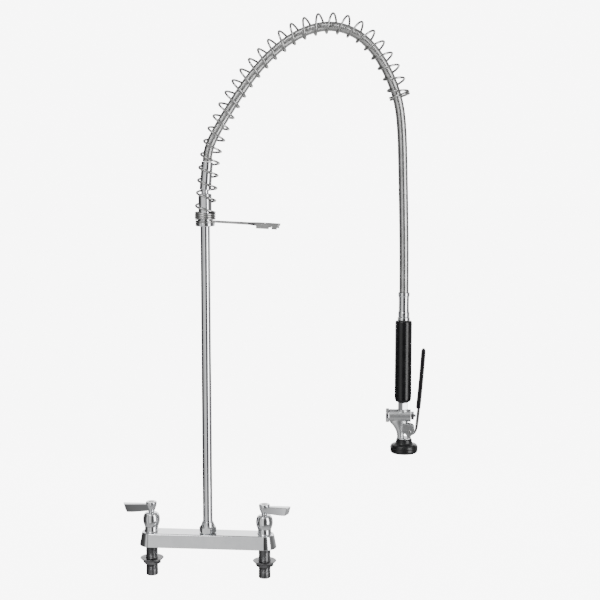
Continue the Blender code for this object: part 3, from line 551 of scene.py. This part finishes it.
def make_shank(node):
    """A threaded supply shank with a smooth end. The thread is one continuous helix."""
    low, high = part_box(node)
    radius, bore = (high[0] - low[0]) / 2, 7.5 * MM
    pitch, depth = 1.814 * MM, 0.62 * MM
    smooth_end, run_out, top = 9.0 * MM, 2.5 * MM, high[2] - low[2]
    chamfer_height, chamfer_depth = 0.9 * MM, 0.8 * MM
    bore_rim, bore_rim_height = 0.5 * MM, 0.6 * MM
    threaded = np.arange(smooth_end - 1 * MM, top, pitch / 8)
    heights = np.concatenate([[0, 0.35 * MM, chamfer_height], threaded, [top]])
    sides = 72
    turns = 2 * np.pi * np.arange(sides) / sides
    rings = []
    for z in heights:
        share = np.clip((z - smooth_end) / run_out, 0, 1)
        groove = np.abs(2 * ((z / pitch - turns / (2 * np.pi)) % 1) - 1)
        cut = depth * share * np.clip(1.25 * groove - 0.1, 0, 1)  # with a small flat on crest and root
        chamfer = chamfer_depth * max(0.0, 1 - z / chamfer_height) ** 1.5
        reach = radius - cut - chamfer
        rings.append(np.stack([reach * np.cos(turns), reach * np.sin(turns), np.full(sides, z)], axis=-1))
    for z in (top, bore_rim_height, 0):
        reach = bore + (bore_rim if z == 0 else 0)
        rings.append(np.stack([reach * np.cos(turns), reach * np.sin(turns), np.full(sides, z)], axis=-1))
    upright(node, stacked([ring.tolist() for ring in rings], bored=True), smooth=50)


def make_washer(node):
    h = height_of(node)
    low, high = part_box(node)
    r = (high[0] - low[0]) / 2 / MM
    profile = [(10.95, 0), (r - 4.0, 0), (r - 0.5, h - 1.2), (r, h - 0.7), (r - 0.3, h), (10.95, h)]
    upright(node, lathe(profile, ease=0.5))


CORNER_TO_FLAT = 1.155  # radius at a hexagon's corner over the radius at its flat


def hex_nut(node, across, bore, lie=upright, turned=0.0):
    """A hexagon nut with both rims chamfered to a circle."""
    low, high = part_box(node)
    size = [high[k] - low[k] for k in range(3)]
    h = (size[2] if lie is upright else size[0]) / MM
    corner = across * CORNER_TO_FLAT
    rim = 0.066 * across  # height of the chamfer
    heights = [0, 0.15 * rim, 0.5 * rim, rim, h - rim, h - 0.5 * rim, h - 0.15 * rim, h]
    corners = [0.97 * across, across, 0.5 * (across + corner), corner]
    corners += corners[::-1]
    levels = [flats(across * MM, c * MM, z * MM, turned) for c, z in zip(corners, heights)]
    levels += [circle((bore + 0.3) * MM, h * MM), circle(bore * MM, (h - 0.3) * MM)]
    levels += [circle(bore * MM, 0.3 * MM), circle((bore + 0.3) * MM, 0)]
    lie(node, stacked(levels, bored=True), smooth=24)


# --------------------------------------------------------------------- handles

BLADE_HALF_WIDTH = 7.0 * MM
BLADE_LEAN = 2.0 * MM  # what the blade's corners add to its reach


def make_bonnet(node):
    profile = [
        (12.2, 0), (12.6, 1.0), (13.6, 3.8), (14.5, 7.0), (15.0, 10.8), (15.0, 13.5), (14.6, 17.0),
        (13.7, 20.2), (12.3, 22.9), (10.6, 24.3), (8.4, 25.0), (3.9, 25.1), (3.9, 5.0), (11.5, 3.0),
        (11.5, 0),
    ]
    upright(node, lathe(profile, ease=0.8))


def rounded_section(along, half_width, low, high, lean, corner=1.4):
    """One section across the blade: a rectangle with round corners, leaning in at the bottom."""
    found = []
    quarter = 6  # steps round each corner
    inner, middle, half = half_width - corner, (low + high) / 2, (high - low) / 2 - corner
    for side_y, side_z, start in ((1, 1, 0), (-1, 1, 90), (-1, -1, 180), (1, -1, 270)):
        for i in range(quarter + 1):
            turn = math.radians(start + 90 * i / quarter)
            y = side_y * inner + corner * math.cos(turn)
            z = middle + side_z * half + corner * math.sin(turn)
            share = (high - z) / (high - low)
            found.append(((along - lean * share) * MM, y * MM, z * MM))
    return found


def make_handle(node):
    """A hub that flares upwards, with a recess for the screw, and a wedge blade with softened edges."""
    at = foot_of(node.replace("handle", "bonnet"))
    hub = [
        (5.2, 0), (5.5, 1.0), (5.8, 2.6), (6.9, 5.2), (8.0, 8.0), (9.0, 11.2), (9.6, 14.4), (9.8, 17.0),
        (9.5, 18.4), (8.8, 19.1), (4.6, 19.1), (4.5, 17.1), (2.4, 17.0), (2.4, 12.7), (3.9, 12.7), (3.9, 0),
    ]
    blade = [
        rounded_section(4.7, 5.4, 3.1, 15.4, 0), rounded_section(18.0, 6.2, 3.3, 16.8, 0),
        rounded_section(34.0, 7.0, 3.7, 18.2, 0), rounded_section(46.6, 7.35, 4.6, 19.4, 3.6),
        rounded_section(48.4, 7.2, 4.9, 19.5, 3.9), rounded_section(49.0, 6.4, 5.8, 18.8, 3.6, 1.2),
    ]
    low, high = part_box(node)
    turn = math.atan2(-blade_drop(low, at), blade_reach(low, high, at))
    mesh = joined(lathe(hub, ease=0.5), [("UNION", stacked(blade))])
    mesh.transform(Matrix.Translation((at[0], at[1], low[2])) @ Matrix.Rotation(turn, 4, "Z"))
    made = finish_mesh(node, mesh, smooth=36)
    ride(made, node)


def blade_drop(low, at):
    """How far the blade's tip comes forward of the hub's axis, less its half width."""
    return (at[1] - low[1]) - BLADE_HALF_WIDTH


def blade_reach(low, high, at):
    """How far the blade reaches to its own side, with the sign of that side."""
    right, left = high[0] - at[0], at[0] - low[0]
    return right - BLADE_LEAN if right > left else BLADE_LEAN - left


def make_handle_screw(node):
    profile = [
        (0.9, 0), (1.9, 0.6), (1.9, 12.8), (4.0, 12.9), (4.0, 13.4), (3.5, 14.1), (2.4, 14.4), (0.4, 14.4),
    ]
    slot = block((-5 * MM, -0.5 * MM, 13.5 * MM), (5 * MM, 0.5 * MM, 16 * MM))
    slot_turn = 0.6  # radians
    mesh = joined(lathe(profile, bored=False, ease=0.15, count=48), [("DIFFERENCE", slot)])
    mesh.transform(Matrix.Translation(foot_of(node)) @ Matrix.Rotation(slot_turn, 4, "Z"))
    made = finish_mesh(node, mesh)
    ride(made, node)


# ----------------------------------------------------------------------- riser


def make_riser():
    h = height_of("riser_pipe")
    upright("riser_pipe", lathe([(8.55, 0), (8.55, h), (6.3, h), (6.3, 0)], ease=0.5))

    nut = [
        flats(13.2 * MM, 13.4 * MM, 0), flats(13.5 * MM, 13.9 * MM, 0.25 * MM),
        flats(13.5 * MM, 14.8 * MM, 0.7 * MM), flats(13.5 * MM, 15.5 * MM, 1.2 * MM),
        flats(13.5 * MM, 15.5 * MM, 8.6 * MM), flats(13.5 * MM, 14.6 * MM, 9.7 * MM),
        flats(13.4 * MM, 13.5 * MM, 10.6 * MM), circle(12.6 * MM, 12.1 * MM), circle(11.6 * MM, 14.2 * MM),
        circle(10.7 * MM, 16.6 * MM), circle(10.0 * MM, 19.0 * MM), circle(9.5 * MM, 19.9 * MM),
        circle(9.1 * MM, 20.2 * MM), circle(8.85 * MM, 20.0 * MM), circle(8.85 * MM, 0),
    ]
    upright("riser_nut", stacked(nut, bored=True), smooth=28)

    collar = [(15.8, 0), (17.0, 1.2), (17.0, 5.7), (16.2, 6.5), (8.85, 6.5), (8.85, 0)]
    upright("spring_collar", lathe(collar, ease=0.6))


def make_top_fitting():
    """The fitting that joins the riser to the hose: a spigot for the arm, a flange, flats and a neck."""
    h = height_of("riser_top_fitting")
    flange, across = 3.3, 11.0
    foot = (
        (12.0, 0), (12.0, flange), (12.8, flange), (13.2, flange + 0.4), (13.2, flange + 2.2),
        (12.9, flange + 2.6),
    )
    wrench_flats = ((11.2, flange + 2.8), (11.5, flange + 3.6), (11.5, h - 12.0), (11.2, h - 10.6))
    neck = ((10.6, h - 10.0), (7.0, h - 9.8), (6.5, h - 9.2), (6.5, h - 0.4), (6.1, h))
    waterway = ((4.6, h), (4.6, 8.7), (8.85, 8.7), (8.85, 0))
    levels = [circle(r * MM, z * MM) for r, z in foot]
    levels += [flats(across * MM, r * MM, z * MM) for r, z in wrench_flats]
    levels += [circle(r * MM, z * MM) for r, z in neck + waterway]
    upright("riser_top_fitting", stacked(levels, bored=True), smooth=28)


def ferrule_profile(height, barrel):
    """A crimped ferrule: a collar at each end, and a barrel drawn in slightly where it was crimped."""
    return [
        (9.3, 0), (10.0, 0.8), (10.0, 7.6), (barrel + 0.2, 8.8), (barrel, 12.0), (barrel - 0.1, height / 2),
        (barrel, height - 10.0), (barrel + 0.2, height - 7.2), (10.0, height - 6.0), (10.0, height - 0.8),
        (9.3, height),
    ]


def make_ferrules():
    bore = [(8.3, 48.0), (5.0, 44.0), (5.0, 5.5), (7.8, 5.5), (7.8, 0)]
    top = lathe(ferrule_profile(height=48.0, barrel=9.9) + bore)
    move(top, Matrix.Translation(FERRULE_FOOT) @ Matrix.Rotation(FERRULE_TILT, 4, "Y"))
    made = finish_piece("hose_top_ferrule", top)
    ride(made, "hose_top_ferrule")

    spigot = 14.5
    outer = [(r - 0.1, z + spigot) for r, z in ferrule_profile(height=42.5, barrel=9.1)]
    profile = [(5.2, 0), (5.2, spigot)] + outer + [(8.3, 57.0), (3.6, 50.0), (3.6, 0)]
    upright("hose_end_ferrule", lathe(profile))


ARM_SLOPE = math.radians(3.0)


def hook_outline():
    """The arm seen from above: a forked head with an open slot, a strip, and a ring round the fitting."""
    low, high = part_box("hook_arm")
    tip, head, half = high[0], 90.0 * MM, high[1]
    slot, slot_start, arm, ring = 9.5 * MM, 99.0 * MM, 9.5 * MM, -low[0]
    shoulder = head - 14 * MM
    slot_steps, ring_steps = 24, 64
    found = [(tip, -half), (tip, -slot)]
    for i in range(slot_steps + 1):
        turn = math.pi * i / slot_steps
        found.append((slot_start + slot - slot * math.sin(turn), -slot * math.cos(turn)))
    found += [(tip, slot), (tip, half), (head, half), (shoulder, arm)]
    meet = math.asin(arm / ring)
    for i in range(ring_steps + 1):
        turn = meet + 2 * (math.pi - meet) * i / ring_steps
        found.append((ring * math.cos(turn), ring * math.sin(turn)))
    return found + [(shoulder, -arm), (head, -half)]


def slope_down(bm):
    """Lowers what lies past the ring in proportion, so that the arm slopes and its ring stays level."""
    ring = -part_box("hook_arm")[0][0]
    for vert in bm.verts:
        vert.co.z -= max(0.0, vert.co.x - ring) * math.tan(ARM_SLOPE)
    return bm


def make_hook_arm():
    """The arm and its forked head, a little swollen past the ring, with a lip under each side of the head."""
    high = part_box("hook_arm")[1]
    thick, half, bore = 3.0 * MM, high[1], 12.3 * MM
    swell, swell_start = 0.35 * MM, 30 * MM
    lip_width, lip_drop = 3.0 * MM, 5 * MM
    plate = bmesh.new()
    face = plate.faces.new([plate.verts.new((x, y, 0)) for x, y in hook_outline()])
    grown = bmesh.ops.extrude_face_region(plate, geom=[face])
    raised = [item for item in grown["geom"] if isinstance(item, bmesh.types.BMVert)]
    bmesh.ops.translate(plate, verts=raised, vec=(0, 0, thick))
    for vert in plate.verts:
        if vert.co.x > swell_start:
            vert.co.z += swell if vert in raised else -swell
    bmesh.ops.triangulate(plate, faces=plate.faces)
    steps = []
    for side in (-1, 1):
        near, far = sorted((side * half, side * (half - lip_width)))
        for start, end in ((91 * MM, 113 * MM), (118 * MM, 127 * MM)):
            lip = block((start, near, -lip_drop), (end, far, thick / 2))
            steps.append(("UNION", slope_down(lip)))
    steps.append(("DIFFERENCE", rod((0, 0, -thick), (0, 0, 2 * thick), bore, ROUND)))
    mesh = joined(slope_down(plate), steps)
    mesh.transform(Matrix.Translation((0, 0, high[2] - thick)))
    arm = finish_mesh("hook_arm", mesh, smooth=30)
    edge = arm.modifiers.new("softened_edges", "BEVEL")
    edge.width = 0.45 * MM
    edge.segments = 3
    edge.limit_method = "ANGLE"
    edge.angle_limit = math.radians(40)
    ride(arm, "hook_arm")


def make_spring():
    """The overhead spring's round wire: closed turns at each end, open turns between."""
    steps_per_turn, wire_sides = 48, 14
    middle = smooth_route(SPRING_ROUTE, 1.0 * MM)
    along = lengths_along(middle)
    closed = [turns * CLOSED_PITCH for turns in CLOSED_TURNS]
    open_turns = round((along[-1] - sum(closed)) / SPRING_PITCH * 2) / 2
    marks = [0, closed[0], along[-1] - closed[1], along[-1]]
    counts = np.cumsum([0, CLOSED_TURNS[0], open_turns, CLOSED_TURNS[1]])
    steps = round(counts[-1] * steps_per_turn)
    turn = counts[-1] * np.arange(steps + 1) / steps
    where = np.interp(turn, counts, marks)
    centre = points_at(middle, along, where)
    ahead = points_at(middle, along, where + MM) - points_at(middle, along, where - MM)
    ahead /= np.linalg.norm(ahead, axis=1)[:, None]
    out, side = np.cos(2 * np.pi * turn), np.sin(2 * np.pi * turn)
    line = np.stack(
        [
            centre[:, 0] - SPRING_R * out * ahead[:, 1],
            SPRING_R * side,
            centre[:, 1] + SPRING_R * out * ahead[:, 0],
        ],
        axis=-1,
    )
    axis = np.stack([centre[:, 0], np.zeros(len(centre)), centre[:, 1]], axis=-1)
    tangent = np.gradient(line, axis=0)
    tangent /= np.linalg.norm(tangent, axis=1)[:, None]
    first = line - axis
    first -= tangent * np.sum(first * tangent, axis=1)[:, None]
    first /= np.linalg.norm(first, axis=1)[:, None]
    second = np.cross(tangent, first)
    angles = 2 * np.pi * np.arange(wire_sides) / wire_sides
    radius = np.full(len(line), WIRE_R)
    radius[[0, -1]] = 0.6 * WIRE_R
    cosines, sines = np.cos(angles)[None, :, None], np.sin(angles)[None, :, None]
    offsets = cosines * first[:, None, :] + sines * second[:, None, :]
    rings = line[:, None, :] + radius[:, None, None] * offsets
    spring = finish_mesh("overhead_spring", tube_mesh("spring", rings), smooth=70)
    ride(spring, "overhead_spring")


# ----------------------------------------------------------------- spray valve


def make_grip():
    swivel = [(9.6, 0), (10.7, 0.9), (10.7, 5.0), (9.6, 5.9), (5.6, 5.9), (5.6, 0)]
    upright("swivel_nut", lathe(swivel, ease=0.5))

    h = height_of("grip_tube")
    tube = [(6.0, 0), (6.0, 11.9), (8.4, 11.9), (8.4, h), (5.6, h), (5.6, h - 8.4), (4.5, h - 8.4), (4.5, 0)]
    upright("grip_tube", lathe(tube))

    h = height_of("grip_sleeve")
    sleeve = [
        (8.7, 0), (9.6, 0), (11.3, 0.5), (12.7, 1.7), (13.7, 3.4), (14.3, 5.8), (14.6, 9.0), (14.6, h - 3.2),
        (14.3, h - 1.7), (13.5, h - 0.5), (12.3, h), (8.7, h),
    ]
    upright("grip_sleeve", lathe(sleeve, ease=1.2))
    hex_nut("neck_nut", across=8.4, bore=6.3, turned=math.pi / 6)


def make_spray_body():
    """One casting. Its shapes are joined, then skinned again so that they meet in cast fillets."""
    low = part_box("spray_body")[0]
    middle = (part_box("barrel_cap")[0][2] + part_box("barrel_cap")[1][2]) / 2
    left, right, barrel_r = low[0], 358.5 * MM, 10.8 * MM
    inlet_x, inlet_r, inlet_top = foot_of("grip_tube")[0], 9.2 * MM, 254.7 * MM
    head_x, throat_r, throat_top = foot_of("bumper_ring")[0], 9.0 * MM, 203.9 * MM
    flange_r, flange_bottom, flange_top = 12.6 * MM, 202.5 * MM, 204.5 * MM
    ear_inner, ear_thick = 5.9 * MM, 2.7 * MM
    neck = []
    stations = (
        (240.0, 323.5, 354.0, 7.6), (235.5, 321.8, 354.2, 8.6), (231.5, 322.0, 353.0, 8.8),
        (228.5, 324.6, 351.2, 8.7), (225.5, 327.6, 349.6, 8.4), (222.0, 330.0, 348.4, 7.9),
        (218.5, 332.0, 347.6, 7.4), (215.0, 333.4, 347.3, 6.9), (211.5, 334.3, 347.2, 6.6),
        (207.0, 334.8, 347.0, 6.3), (203.0, 335.0, 347.0, 6.2),
    )
    for z, near, far, half_depth in stations:
        centre, half = (near + far) / 2, (far - near) / 2
        neck.append([(centre * MM + half * x, half_depth * y, h) for x, y, h in circle(MM, z * MM, 48)])
    steps = [
        ("UNION", rod((inlet_x, 0, middle), (inlet_x, 0, inlet_top), inlet_r)),
        ("UNION", stacked(neck)),
    ]
    outline = [
        (344, 231), (352, 230), (358, 229), (361.6, 227.8), (364, 225.4), (365, 222), (365, 218),
        (364.2, 214), (362.8, 211.8), (360.5, 210.2), (358.8, 208.2), (358.5, 203.1), (352.2, 203.1),
        (352.0, 208.5), (349.5, 212), (344, 214),
    ]
    for side in (-1, 1):
        ear = bmesh.new()
        face = ear.faces.new([ear.verts.new((x * MM, side * ear_inner, z * MM)) for x, z in outline])
        grown = bmesh.ops.extrude_face_region(ear, geom=[face])
        moved = [item for item in grown["geom"] if isinstance(item, bmesh.types.BMVert)]
        bmesh.ops.translate(ear, verts=moved, vec=(0, side * ear_thick, 0))
        steps.append(("UNION", ear))
    bridge = block((352.3 * MM, -8.5 * MM, 203.2 * MM), (358.4 * MM, 8.5 * MM, 206.8 * MM))
    steps += [
        ("UNION", bridge),
        ("UNION", rod((head_x, 0, flange_bottom), (head_x, 0, flange_top), flange_r, ROUND)),
        ("UNION", rod((head_x, 0, low[2]), (head_x, 0, throat_top), throat_r)),
    ]
    barrel = rod((left, 0, middle), (right, 0, middle), barrel_r, ROUND)
    mesh = remeshed(joined(barrel, steps), voxel=0.42 * MM, smoothing=4)
    made = finish_mesh("spray_body", mesh, smooth=60)
    ride(made, "spray_body")


def make_barrel_pieces():
    cap = [
        (0.5, 2.2), (5.6, 2.2), (5.9, 0.1), (11.4, 0), (12.3, 0.9), (12.3, 4.9), (11.6, 6.0), (7.6, 6.0),
        (7.6, 11.4), (5.0, 11.4), (4.6, 3.5), (0.5, 3.5),
    ]
    along_x("barrel_cap", lathe(cap, ease=0.5))
    hex_nut("packing_nut", across=6.4, bore=2.9, lie=along_x)
    plunger = [(6.4, 0), (6.4, 2.7), (2.5, 2.8), (2.5, 25.2), (2.1, 26.4), (0.6, 26.9)]
    along_x("plunger", lathe(plunger, bored=False, ease=0.4, count=48))


def make_bumper():
    """The rubber bumper: a neck, a shoulder, and a rim with a raised bead round it."""
    profile = [
        (9.4, 24.2), (9.4, 7.6), (17.6, 7.6), (17.6, 0), (21.4, 0), (23.2, 1.6), (23.9, 4.2), (23.9, 8.2),
        (24.2, 9.0), (24.2, 10.4), (23.7, 11.4), (23.2, 13.2), (21.6, 14.9), (18.6, 15.7), (16.2, 16.5),
        (14.6, 18.0), (14.0, 20.4), (13.9, 22.0), (13.4, 24.2),
    ]
    upright("bumper_ring", lathe(profile, ease=0.9))


def make_spray_face():
    """The spray face: a dished steel disc with a ring of holes and a smaller ring inside it."""
    profile = [(15.8, 0.8), (0.9, 0), (0.9, 2.7), (14.0, 3.0), (14.5, 5.0), (17.2, 5.0), (17.2, 1.8)]
    hole_r = 0.9 * MM
    cuts = []
    for count, circle_r in ((8, 9.5), (6, 5.0)):
        for i in range(count):
            turn = 2 * math.pi * (i + 0.5) / count
            x, y = circle_r * math.cos(turn) * MM, circle_r * math.sin(turn) * MM
            cuts.append(("DIFFERENCE", rod((x, y, -2 * MM), (x, y, 8 * MM), hole_r, 20)))
    mesh = joined(lathe(profile, ease=0.4), cuts)
    mesh.transform(Matrix.Translation(foot_of("spray_face")))
    made = finish_mesh("spray_face", mesh)
    ride(made, "spray_face")


LEVER_ROUTE = [
    (0.3560, 0.2122), (0.3612, 0.2126), (0.3652, 0.2162), (0.3671, 0.2225), (0.3688, 0.2360),
    (0.3702, 0.2500), (0.3722, 0.2710), (0.3752, 0.3060), (0.3778, 0.3410), (0.3790, 0.3590),
]
COAT_START_Z = 0.2565
COAT_TIP_Z = 0.3620


def strip_section(middle, across, half_thick, half_width, power, count=40):
    """A section of a strip: a rounded rectangle whose corners sharpen with power."""
    found = []
    for i in range(count):
        turn = 2 * math.pi * i / count
        c, s = math.cos(turn), math.sin(turn)
        thick = half_thick * math.copysign(abs(c) ** (2 / power), c)
        wide = half_width * math.copysign(abs(s) ** (2 / power), s)
        found.append(middle + across * thick + Vector((0, wide, 0)))
    return found


def strip(points, half_thick, half_width, power, outward):
    """The sections of a strip beside (x, z) points. Its half sizes are functions of the height."""
    levels = []
    last = len(points) - 1
    for i, (x, z) in enumerate(points):
        before, after = points[max(i - 1, 0)], points[min(i + 1, last)]
        across = Vector((after[1] - before[1], 0, before[0] - after[0])).normalized()
        middle = Vector((x, 0, z)) + across * outward
        levels.append(strip_section(middle, across, half_thick(z), half_width(z), power))
    return levels


def lever_half_width(z):
    """Narrow between the ears, and wider above them."""
    return float(np.interp(z, (0.2295, 0.2345), (5.2 * MM, 8.5 * MM)))


def lever_half_thick(z):
    """Thinner at the foot, beside the pivot."""
    return float(np.interp(z, (0.2165, 0.2260), (1.6 * MM, 2.5 * MM)))


def make_lever(route):
    """The bent steel lever with its pivot boss."""
    steel = strip(route, lever_half_thick, lever_half_width, power=7, outward=1.1 * MM)
    pivot_x, pivot_z, boss_half, boss_r = 0.3565, 0.2165, 5.1 * MM, 3.6 * MM
    boss = rod((pivot_x, -boss_half, pivot_z), (pivot_x, boss_half, pivot_z), boss_r)
    made = finish_mesh("squeeze_lever", joined(stacked(steel), [("UNION", boss)]), smooth=40)
    ride(made, "squeeze_lever")


def make_lever_coat(route):
    """The dipped black coat over the lever's upper length, with rounded ends."""
    upper = route[route[:, 1] > COAT_START_Z]
    last = upper[-1]
    step = (upper[-1] - upper[-2]) / np.linalg.norm(upper[-1] - upper[-2])
    rest = COAT_TIP_Z - last[1]
    shares = (0.25, 0.5, 0.72, 0.88, 0.97, 1.0)
    line = np.vstack([upper, [last + step * rest * share for share in shares]])
    foot_z, tip_z = line[0][1], line[-1][1]
    foot_round, tip_round = 1.6 * MM, 6.5 * MM

    def rounding(z):
        """From 1 along the coat down to a small end at each rim, as a quarter ellipse."""
        top = min(1.0, (tip_z - z) / tip_round + 0.03)
        low = min(1.0, (z - foot_z) / foot_round + 0.45)
        return math.sqrt(1 - (1 - top) ** 2) * math.sqrt(1 - (1 - low) ** 2)

    def half_thick(z):
        return 4.0 * MM * rounding(z)

    def half_width(z):
        return 10.4 * MM * (0.35 + 0.65 * rounding(z))

    coat = strip(line, half_thick, half_width, power=3.6, outward=0.2 * MM)
    made = finish_piece("lever_coat", stacked(coat), smooth=60)
    ride(made, "lever_coat")


def make_lever_pin():
    low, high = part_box("lever_pin")
    half = (high[1] - low[1]) / 2 / MM
    head = [(0.4, 0), (1.6, 0.15), (2.4, 0.6), (2.7, 1.1), (2.7, 1.4), (1.5, 1.5)]
    profile = [(r, z - half) for r, z in head] + [(r, half - z) for r, z in head[::-1]]
    at = Vector(((low[0] + high[0]) / 2, (low[1] + high[1]) / 2, (low[2] + high[2]) / 2))
    pin = lathe(profile, bored=False, ease=0.2, count=48)
    move(pin, Matrix.Translation(at) @ Matrix.Rotation(-math.pi / 2, 4, "X"))
    ride(finish_piece("lever_pin", pin), "lever_pin")


def dress_inner_nodes():
    """CAD nodes that stay, sealed inside, take the finish of their slot."""
    inner = ["riser_seal", "stem_packing", "return_spring", "valve_seat_washer"]
    for side in ("left", "right"):
        inner += [f"{side}_{name}" for name in ("valve_seal", "valve_cartridge", "fixed_disc")]
        inner += [f"{side}_{name}" for name in ("turning_disc", "valve_stem")]
    for node in inner:
        mesh = frame["nodes"][node].data
        mesh.materials.clear()
        mesh.materials.append(MATERIALS[SLOT_OF[node]])


# ------------------------------------------------------------------------ stage


def make_floor():
    """A wide pale floor that glows almost as brightly as the background, so that no horizon shows."""
    size, dimmer = 14.0, 0.2
    bm = bmesh.new()
    bmesh.ops.create_grid(bm, x_segments=1, y_segments=1, size=size)
    mesh = bpy.data.meshes.new("floor")
    bm.to_mesh(mesh)
    bm.free()
    made, nodes, links, surface = start_material("pale_floor")
    clouds = grain(nodes, links, 6.0, 2.0)
    colour = tint(nodes, links, clouds, (0.31, 0.31, 0.31), (0.29, 0.29, 0.29))
    links.new(colour, surface.inputs["Base Color"])
    surface.inputs["Roughness"].default_value = 0.8
    surface.inputs["Specular IOR Level"].default_value = 0.2
    surface.inputs["Emission Color"].default_value = (1, 1, 1, 1)
    surface.inputs["Emission Strength"].default_value = SEEN_WHITE - dimmer
    mesh.materials.append(made)
    floor = bpy.data.objects.new("floor", mesh)
    floor.location = (0, 0, cad_box[0][2] - FLOOR_DROP)
    floor.visible_glossy = False
    floor.visible_diffuse = False
    bpy.context.scene.collection.objects.link(floor)


# Brightness round the horizon, by direction in degrees from the front towards +X, with the dark gap
# round the camera that polished metal shows as a stripe.
HORIZON = [
    (-180, 0.45), (-162, 0.25), (-148, 0.10), (-112, 0.05), (-78, 0.08), (-62, 0.25), (-50, 1.00),
    (-38, 0.50), (-20, 0.22), (-4, 0.08), (12, 0.06), (28, 0.12), (40, 0.22), (78, 0.25),
    (98, 0.18), (120, 0.28), (146, 0.55), (180, 0.45),
]


def make_world():
    """White to the eye, and to a reflection a ring of soft boxes under a bright ceiling."""
    world = bpy.data.worlds.new("studio")
    bpy.context.scene.world = world
    world.use_nodes = True
    nodes, links = world.node_tree.nodes, world.node_tree.links
    background = nodes["Background"]
    coords = nodes.new("ShaderNodeTexCoord")
    axes = nodes.new("ShaderNodeSeparateXYZ")
    links.new(coords.outputs["Generated"], axes.inputs[0])
    front = nodes.new("ShaderNodeMath")
    front.operation = "MULTIPLY"
    front.inputs[1].default_value = -1
    links.new(axes.outputs["Y"], front.inputs[0])
    turn = nodes.new("ShaderNodeMath")
    turn.operation = "ARCTAN2"
    links.new(axes.outputs["X"], turn.inputs[0])
    links.new(front.outputs[0], turn.inputs[1])
    around = nodes.new("ShaderNodeMapRange")
    around.inputs["From Min"].default_value = -math.pi
    around.inputs["From Max"].default_value = math.pi
    links.new(turn.outputs[0], around.inputs["Value"])
    ramp = nodes.new("ShaderNodeValToRGB")
    ramp.color_ramp.interpolation = "EASE"
    stops = ramp.color_ramp.elements
    for i, (degrees, value) in enumerate(HORIZON):
        at = (degrees + 180) / 360
        stop = stops[i] if i < 2 else stops.new(at)
        stop.position = at
        stop.color = (value, value, value, 1)
    links.new(around.outputs["Result"], ramp.inputs["Fac"])
    height, ring = axes.outputs["Z"], ramp.outputs["Color"]
    ceiling = blend_by_height(nodes, links, height, start=0.35, end=0.75, colour=ring, value=0.42)
    ground = blend_by_height(nodes, links, height, start=-0.35, end=-0.8, colour=ceiling, value=0.6)
    path = nodes.new("ShaderNodeLightPath")
    seen = nodes.new("ShaderNodeMix")
    seen.data_type = "RGBA"
    seen.inputs["B"].default_value = (SEEN_WHITE, SEEN_WHITE, SEEN_WHITE, 1)
    links.new(path.outputs["Is Camera Ray"], seen.inputs["Factor"])
    links.new(ground, seen.inputs["A"])
    links.new(seen.outputs["Result"], background.inputs["Color"])


def blend_by_height(nodes, links, height, start, end, colour, value):
    """Blends a colour into a plain brightness between two heights of the direction."""
    share = nodes.new("ShaderNodeMapRange")
    share.interpolation_type = "SMOOTHSTEP"
    share.inputs["From Min"].default_value = start
    share.inputs["From Max"].default_value = end
    links.new(height, share.inputs["Value"])
    made = nodes.new("ShaderNodeMix")
    made.data_type = "RGBA"
    made.inputs["B"].default_value = (value, value, value, 1)
    links.new(share.outputs["Result"], made.inputs["Factor"])
    links.new(colour, made.inputs["A"])
    return made.outputs["Result"]


def make_lights():
    """Two tall soft boxes near the faucet, whose reflections run down it, a bright backdrop and a key."""
    for name, at, facing, size, power in (
        ("right_box", (1.70, -1.04, 0.50), (0.2, 0, 0.45), (0.90, 2.40), 38.0),
        ("left_box", (-0.25, -1.04, 0.45), (0.0, 0, 0.40), (0.64, 2.20), 3.6),
        ("backdrop", (0.00, 0.80, 0.33), (0.0, 0, 0.03), (1.80, 0.42), 5.4),
        ("key", (-0.9, -1.7, 2.6), (0.12, 0, 0.4), (0.8, 0.8), 22.0),
    ):
        data = bpy.data.lights.new(name, "AREA")
        data.shape = "RECTANGLE"
        data.size, data.size_y = size
        data.energy = power
        made = bpy.data.objects.new(name, data)
        made.location = at
        made.rotation_euler = (Vector(facing) - Vector(at)).to_track_quat("-Z", "Y").to_euler()
        made.visible_camera = False
        bpy.context.scene.collection.objects.link(made)


# ------------------------------------------------------------------------- make


make_camera()
make_hose()
make_body()
for side in ("left", "right"):
    make_shank(f"{side}_supply_shank")
    make_washer(f"{side}_shank_washer")
    hex_nut(f"{side}_shank_locknut", across=14.0, bore=10.95)
    make_bonnet(f"{side}_bonnet")
    make_handle(f"{side}_handle")
    make_handle_screw(f"{side}_handle_screw")
make_riser()
make_top_fitting()
make_ferrules()
make_hook_arm()
make_spring()
make_grip()
make_spray_body()
make_barrel_pieces()
make_bumper()
make_spray_face()
lever_line = smooth_route(LEVER_ROUTE, 1.2 * MM)
make_lever(lever_line)
make_lever_coat(lever_line)
make_lever_pin()
dress_inner_nodes()
make_floor()
make_world()
make_lights()
